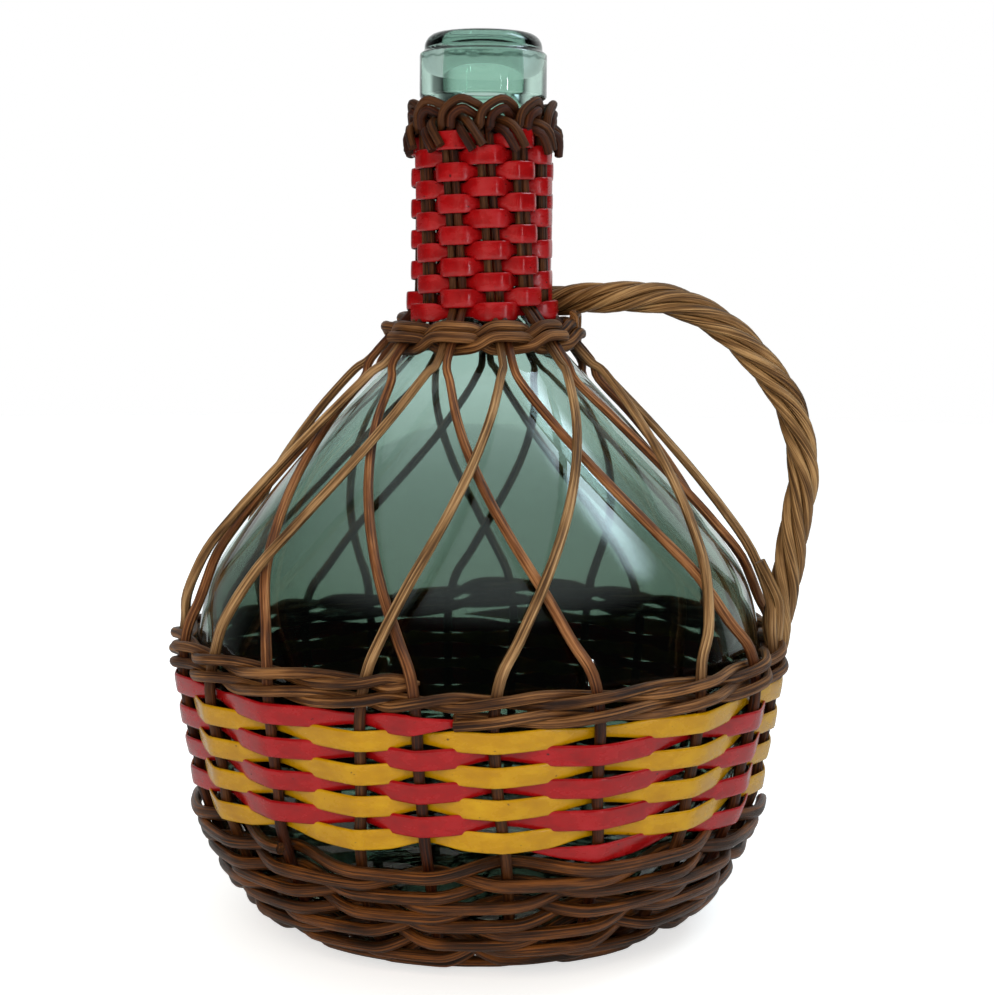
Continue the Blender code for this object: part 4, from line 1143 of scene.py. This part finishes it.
# %% Plastic strips
STRIP_WIDE = 7.6 * MM
STRIP_NARROW = 4.0 * MM
STRIP_FOLD = 0.95
STRIP_JITTER = 0.12 * MM
STRIP_TUCK = 0.62
STRIP_END_ROWS = 9
STRIP_END_DIVE = 2.5 * MM
STRIP_TIP = 0.06
BAND = {"sides": 14, "squareness": 0.6}
for strip_name, finish, slot, parity, begin in (
    ("red_strip_side", RED, "red_strip", 1, STRIP_START_STAKE),
    ("yellow_strip_side", YELLOW, "yellow_strip", 0, STRIP_START_STAKE + PAIRS),
):
    rows = side_path(
        parity, 2, 1, begin - STRIP_TUCK, begin + STRIP_TURNS * STAKES + STRIP_TUCK,
        lambda number, begin=begin: strips_start + 2.0 * STRIP_PITCH * (number - begin) / STAKES,
        STRIP_WIDE, STRIP_NARROW, STRIP_THICKNESS, STRIP_FOLD, STRIP_JITTER, 50 + parity)
    for index in range(STRIP_END_ROWS):
        share = index / STRIP_END_ROWS
        for end in (index, -1 - index):
            middle, outward, half_width, half_thick = rows[end]
            rows[end] = (middle - outward * STRIP_END_DIVE * (1.0 - share) ** 2, outward,
                         half_width * (STRIP_TIP + (1.0 - STRIP_TIP) * share), half_thick)
    weave_piece(strip_name + "_band", rows, finish, slot, [strip_name], unevenness=0.05,
                lump_length=20.0 * MM, seed=7.0 + parity, **BAND)
print("strip turns:", STRIP_TURNS)

# %% [markdown]
# Rim and neck ring
#
# The rim of the basket and the ring under the neck are both paired twists: two rods
# work together, one in front of a cane and one behind it, and swap places between
# canes. Both run twice round. The rim's last end is tucked behind a cane.

# %% Paired twists
TWIST_LIFT = ROW_ROD_RADIUS + GAP / 2.0
RIM_SAG_SPAN = 1.5
RIM_HALVES = (2.0 * MM, 1.75 * MM)
RIM_STEPS = 6
RIM_TAPER = 0.6
RING_HALVES = (2.15 * MM, 1.85 * MM)
RING_STEPS = 5
RING_LEAN = 0.6
TIP_SHARE = 0.35
RING_VISUAL_Z = RING_Z + 2.4 * MM
RING_VISUAL_PITCH = 4.9 * MM
FIRST_PAIR = -2
PAIR_LAP = 6.5 / PAIR_ANGLE


def rim_length(stakes_on):
    """Where the rim's rows run: they lie on the strips, climb with them and sag once a turn."""
    sag_start = (STRIP_START_STAKE + PAIRS + STRIP_TURNS * STAKES - RIM_START_STAKE) % STAKES
    sags = sum(blend(stakes_on, (start, 0.0), (start + RIM_SAG_SPAN, 1.0))
               for start in (sag_start + turn * STAKES for turn in range(ROW_TURNS)))
    return UNDER_LINE.length_at_height(RIM_Z) + ROW_PITCH * (stakes_on / PAIRS - sags)


def twist_knot(length, angle, outside, bow, swaps):
    """A knot of one rod of a twist: before or behind a cane, or above or below its fellow."""
    sign = 1.0 if outside else -1.0
    radius, height = UNDER_LINE.beside(length, *((0.0, sign * TWIST_LIFT) if swaps else (sign * bow, 0.0)))
    return tuple(place(radius, angle, height))


def rim_path(phase):
    """Knots of one rod of the rim."""
    knots = []
    last_half = 2 * STAKES * ROW_TURNS - 2
    for half in range(-1, last_half + 1):
        number = half // 2 + RIM_START_STAKE
        length = rim_length(half / 2.0)
        angle = angle_between(number, 0.5 * (half % 2), UNDER_LINE.at(length)[1])
        outside = (number + phase) % 2 == 0 and half < last_half
        knots.append(twist_knot(length, angle, outside, ROW_BOW, half % 2 == 1))
    return knots


def ring_path(phase):
    """Knots of one rod of the neck ring."""
    start = UNDER_LINE.length_at_height(RING_VISUAL_Z)
    knots = []
    for number in range(PAIRS * ROW_TURNS - 1):
        for share in (-PAIR_LAP, PAIR_LAP, 0.5):
            length = start + RING_VISUAL_PITCH * (number + share) / PAIRS
            angle = pair_angle(number + share + FIRST_PAIR, RING_Z)
            knots.append(twist_knot(length, angle, (number + phase) % 2 == 0, RING_BOW, share == 0.5))
    return knots


def rod_rows(knots, half_width, half_thick, steps, tilt=LEAN, taper=0.0):
    """Path rows of a rod through knots, outward away from the axis, its last part tapered."""
    points = smooth(knots, steps)
    rows = []
    for index, (x, y, z) in enumerate(points):
        left = (len(points) - 1 - index) / steps
        girth = blend(left, (0.0, TIP_SHARE), (taper, 1.0)) if taper else 1.0
        outward = Vector((x, y, 0.0)).normalized() + tilt * Vector(UPRIGHT)
        rows.append((Vector((x, y, z)), outward, half_width * girth, half_thick * girth))
    return rows


for phase, letter in enumerate("ab"):
    rim = rod_rows(rim_path(phase), *RIM_HALVES, RIM_STEPS, 0.0, RIM_TAPER)
    ring = rod_rows(ring_path(phase), *RING_HALVES, RING_STEPS, RING_LEAN)
    weave_piece("rim_twist_" + letter, rim, RIM_CANE, "willow", ["rim_rod_" + letter],
                unevenness=0.3, lump_length=15.0 * MM, seed=11.0 + 3.1 * phase)
    weave_piece("ring_twist_" + letter, ring, RIM_CANE, "willow", ["neck_ring_rod_" + letter],
                unevenness=0.3, lump_length=13.0 * MM, seed=17.0 + 3.1 * phase)
print("paired twists: rim and ring")

# %% [markdown]
# The red strip of the neck
#
# One strip winds up the neck eleven times. Eleven pairs is an odd number, so the
# strip falls over the pairs that it went under on the turn before, and a single
# strip makes a full weave.

# %% Neck strip
NECK_STRIP_PITCH = 5.8 * MM
NECK_STRIP_WIDE = 7.0 * MM
NECK_STRIP_NARROW = 3.8 * MM
NECK_STRIP_Z = 234.4 * MM
NECK_STRIP_LAST = 128
NECK_STRIP_STEPS = 14
THROAT_SOFT = 6.0 * MM
LAP_SHARE = 0.8
SLACK_BEHIND = 0.4
PINCH = (0.25, 0.95)


def neck_strip_path():
    """Path rows of the strip that winds up the neck."""
    start = UNDER_LINE.length_at_height(NECK_STRIP_Z)
    throat = BOTTLE_Z + NECK_HEIGHT
    rows = []
    for number in range(FIRST_PAIR, NECK_STRIP_LAST):
        for step in range(NECK_STRIP_STEPS):
            share = -PAIR_LAP + step / NECK_STRIP_STEPS
            radius, height = UNDER_LINE.at(start + NECK_STRIP_PITCH * (number + share) / PAIRS)
            slack = blend(height, (throat - THROAT_SOFT, THROAT_SLACK), (throat + THROAT_SOFT, 0.0))
            under = blend(share, (PAIR_LAP * LAP_SHARE, 0.0), (1.0 - PAIR_LAP * LAP_SHARE, 1.0))
            if number % 2:
                under = 1.0 - under
            bow = (1.0 - under) * (NECK_BOW + slack) - under * (NECK_BOW + SLACK_BEHIND * slack)
            pinch = blend(under, (PINCH[0], 0.0), (PINCH[1], 1.0))
            width = NECK_STRIP_WIDE + pinch * (NECK_STRIP_NARROW - NECK_STRIP_WIDE)
            angle = pair_angle(number + share, height)
            rows.append((place(radius + bow, angle, height), place(1.0, angle, 0.0),
                         width / 2.0, NECK_STRIP_THICKNESS / 2.0))
    return rows


weave_piece("neck_strip_band", neck_strip_path(), RED, "red_strip", ["red_strip_neck"],
            unevenness=0.03, seed=23.0, **BAND)
print("neck strip rows:", (NECK_STRIP_LAST - FIRST_PAIR) // PAIRS)

# %% [markdown]
# The handle
#
# Five canes are twisted round a straight core, like a rope. The path is a curve
# through a few points: out from behind the neck, over, and down into the rim. Each
# strand circles that curve once in the length that rope makers call the lay.

# %% Handle rope
HANDLE_RODS = 5
HANDLE_ROD_RADIUS = 1.95 * MM
HANDLE_CORE_RADIUS = 1.6 * MM
HANDLE_STRAND_HALF = 2.25 * MM
HANDLE_LAY = 78.0 * MM
HANDLE_ANGLE = 82.0
HANDLE_REACH = 123.3 * MM
HANDLE_REACH_Z = 175.0 * MM
HANDLE_BEND_X = 93.0 * MM
HANDLE_BEND_Z = 228.9 * MM
HANDLE_STEPS = 120
HANDLE_SMOOTH = 10
HEEL_SINK = 17.0 * MM
HEEL_NARROW = 26.0 * MM
HEEL_LAY_SHARE = 0.40
HEEL_ROD_SHARE = 0.55
NECK_SWING = 17.0 * MM
NECK_SWING_RUN = 34.0 * MM


def handle_point(reach, depth, height):
    """Point in the handle's plane, or beside it by a depth towards the back."""
    return place(reach, HANDLE_ANGLE, height) + depth * place(1.0, HANDLE_ANGLE + 90.0, 0.0)


def rim_top_at(angle):
    """Highest point of the rim's upper row beside an angle round the axis."""
    even = (angle - FRONT_PAIR_ANGLE - RIM_LEAD) / STEP_ANGLE + CROSSING_STEPS
    stakes_on = (even - RIM_START_STAKE) % STAKES + STAKES
    return UNDER_LINE.at(rim_length(stakes_on))[1] + 2.0 * ROW_ROD_RADIUS + GAP / 2.0


rope_radius = HANDLE_CORE_RADIUS + 2.0 * HANDLE_ROD_RADIUS + GAP
top_z = RING_TOP_Z + rope_radius + 0.5 * MM
neck_face = (UNDER_LINE.radius_at_height(top_z - rope_radius) + NECK_BOW + THROAT_SLACK
             + NECK_STRIP_THICKNESS + GAP)
top_run = HANDLE_BEND_X - neck_face
heel = UNDER_LINE.radius_at_height(RIM_TOP_Z) + 2.5 * MM
rest_z = rim_top_at(HANDLE_ANGLE) + 1.0 * MM
foot_z = rest_z + 21.3 * MM
foot_reach = OVER_LINE.radius_at_height(foot_z) + STAKE_RADIUS + rope_radius + 1.2 * MM
HANDLE_ROUTE = Line(smooth([
    (neck_face - 9.0 * MM, top_z - 0.5 * MM),
    (neck_face + 0.26 * top_run, top_z + 1.4 * MM),
    (neck_face + 0.65 * top_run, top_z + 0.42 * MM),
    (HANDLE_BEND_X, HANDLE_BEND_Z),
    (HANDLE_REACH - 13.1 * MM, HANDLE_REACH_Z + 36.4 * MM),
    (HANDLE_REACH - 4.3 * MM, HANDLE_REACH_Z + 21.5 * MM),
    (HANDLE_REACH, HANDLE_REACH_Z),
    (0.5 * (HANDLE_REACH + foot_reach), foot_z + 0.49 * (HANDLE_REACH_Z - foot_z)),
    (foot_reach, foot_z),
    (heel - 0.8 * MM, rest_z + 9.0 * MM),
    (heel - 1.6 * MM, rest_z),
    (heel - 2.4 * MM, rest_z - 0.5 * HEEL_SINK),
    (heel - 7.0 * MM, rest_z - HEEL_SINK),
], HANDLE_SMOOTH))


def rope_path(lay_radius, half, number=0):
    """Path rows of one strand of the rope: it comes round from the back of the neck, and
    is drawn in at the heel, where it enters the rim. The core has no lay."""
    rows = []
    for step in range(HANDLE_STEPS + 1):
        length = HANDLE_ROUTE.total * step / HANDLE_STEPS
        x, z = HANDLE_ROUTE.at(length)
        along = HANDLE_ROUTE.tangent(length)
        swing = blend(length, (0.0, NECK_SWING), (NECK_SWING_RUN, 0.0))
        turn = 2.0 * math.pi * (length / HANDLE_LAY + number / HANDLE_RODS)
        drawn = blend(HANDLE_ROUTE.total - length, (0.0, HEEL_LAY_SHARE), (HEEL_NARROW, 1.0))
        side = lay_radius * drawn * math.cos(turn)
        depth = lay_radius * drawn * math.sin(turn)
        here = handle_point(x - along[1] * side, depth + swing, z + along[0] * side)
        if lay_radius:
            girth = half * (HEEL_ROD_SHARE + (1.0 - HEEL_ROD_SHARE) * drawn)
            rows.append((here, here - handle_point(x, swing, z), girth, girth * 0.95))
        else:
            rows.append((here, Vector((0.0, -1.0, 0.0)), half, half))
    return rows


for number in range(HANDLE_RODS):
    rows = rope_path(HANDLE_CORE_RADIUS + HANDLE_ROD_RADIUS + GAP, HANDLE_STRAND_HALF, number)
    weave_piece(f"handle_strand_{number + 1}", rows, HANDLE_CANE, "cane", [f"handle_rod_{number + 1}"],
                unevenness=0.2, lump_length=18.0 * MM, seed=31.0 + 2.3 * number)
weave_piece("handle_heart", rope_path(0.0, HANDLE_CORE_RADIUS), HANDLE_CANE, "cane", ["handle_core"],
            sides=8, seed=41.0)
print("handle length:", round(HANDLE_ROUTE.total / MM), "mm")

# %% Tie at the neck and cut end at the rim
TIE_ROD_RADIUS = 1.3 * MM
TIE_SLACK = 0.9 * MM
TIE_IN = 3.0 * MM
TIE_BACK = 3.0 * MM
TIE_DROP = 6.3 * MM
TIE_TUCK = 1.0 * MM
TIE_STEPS = 64
TIE_TOP_SHARE = 0.15
TIE_SPREAD = 0.70
TIE_HALVES = (1.9 * MM, 1.6 * MM)
TIE_SIDES = 16
CUT_END_STEPS = 6
CUT_END_RISES = (-13.0, -3.0, 6.0, 14.0, 22.0, 29.0)
CUT_END_TUCKS = (7.0, 4.5, 2.8, 2.2, 2.2, 2.8)
CUT_END_CLOSER = 0.4
CUT_END_LEAN = 0.1

loop_radius = (rope_radius + TIE_ROD_RADIUS + TIE_SLACK) / math.cos(math.pi / TIE_SIDES)
ring_out = UNDER_LINE.radius_at_height(RING_TOP_Z - ROW_PITCH / 2.0)
loop_x = ring_out + RING_BOW + ROW_ROD_RADIUS + TIE_ROD_RADIUS + 2.0 * TIE_SLACK
loop_z = HANDLE_ROUTE.at(HANDLE_ROUTE.length_at_radius(loop_x))[1]
tie_rows = []
for step in range(TIE_STEPS):
    turn = 2.0 * math.pi * step / TIE_STEPS
    upper = TIE_TOP_SHARE if math.cos(turn) > 0.0 else 1.0
    level = loop_z - TIE_DROP + (upper * loop_radius - TIE_TUCK) * math.cos(turn)
    here = handle_point(loop_x - TIE_IN, TIE_BACK + TIE_SPREAD * loop_radius * math.sin(turn), level)
    tie_rows.append((here, here - handle_point(loop_x, 0.0, loop_z), *TIE_HALVES))
weave_piece("handle_binding", tie_rows, RIM_CANE, "cane", ["handle_tie"], sides=10, unevenness=0.2,
            seed=43.0, closed=True)
end_knots = []
for rise, tuck in zip(CUT_END_RISES, CUT_END_TUCKS):
    level = rest_z + rise * MM
    reach = OVER_LINE.radius_at_height(level) + 2.0 * STAKE_RADIUS + 3.0 * GAP - tuck * MM
    before = rope_radius + STAKE_RADIUS + (CUT_END_LEAN * rise - CUT_END_CLOSER) * MM
    end_knots.append(tuple(handle_point(reach, -before, level)))
weave_piece("cut_cane_end", rod_rows(end_knots, STAKE_RADIUS, STAKE_RADIUS, CUT_END_STEPS),
            HANDLE_CANE, "cane", ["handle_cut_end"], unevenness=0.2, seed=47.0)
print("tie and cut end")

# %% [markdown]
# The woven base
#
# Under the bottle spokes fan out from the middle, and a willow winds round and round
# them, over one and under the next, out to where the canes turn up. Their number is
# odd, so on each turn the willow goes over the spokes that it went under before.

# %% Base
SPOKES = 21
SPOKE_RADIUS = 2.3 * MM
SPOKE_START = 4.0 * MM
SPOKE_LENGTH = 60.0 * MM
SPOKE_LIFT = 1.2 * MM
SPOKE_SHIFT = 0.25
SPOKE_STEPS = 6
BASE_ROD_RADIUS = 1.9 * MM
BASE_PITCH = 4.1 * MM
BASE_FIRST_RADIUS = 10.0 * MM
BASE_LAST_RADIUS = 62.0 * MM
BASE_TURNS = (BASE_LAST_RADIUS - BASE_FIRST_RADIUS) / BASE_PITCH
BASE_CELL_STEPS = 5
BASE_STEPS = int(BASE_TURNS * SPOKES * BASE_CELL_STEPS)
BASE_BOW = (SPOKE_RADIUS + BASE_ROD_RADIUS) / 2.0
BASE_Z = BASE_BOW + BASE_ROD_RADIUS

base_rows = []
for step in range(BASE_STEPS + 1):
    turns = BASE_TURNS * step / BASE_STEPS
    level = BASE_Z + BASE_BOW * math.cos(math.pi * turns * SPOKES)
    base_rows.append((place(BASE_FIRST_RADIUS + BASE_PITCH * turns, 360.0 * turns, level),
                      Vector(UPRIGHT), BASE_ROD_RADIUS, BASE_ROD_RADIUS))
weave_piece("base_weave", base_rows, WILLOW, "willow", ["base_mat"], sides=8, unevenness=0.15, seed=53.0)
for number in range(SPOKES):
    angle = 360.0 * (number + SPOKE_SHIFT) / SPOKES
    spoke = [(place(SPOKE_START + SPOKE_LENGTH * step / SPOKE_STEPS, angle, BASE_Z + SPOKE_LIFT),
              Vector(UPRIGHT), SPOKE_RADIUS, SPOKE_RADIUS) for step in range(SPOKE_STEPS + 1)]
    weave_piece(f"base_spoke_{number + 1:02d}", spoke, WILLOW, "willow", [], sides=8, seed=57.0 + number)
print("base rods wind", round(BASE_TURNS), "times")
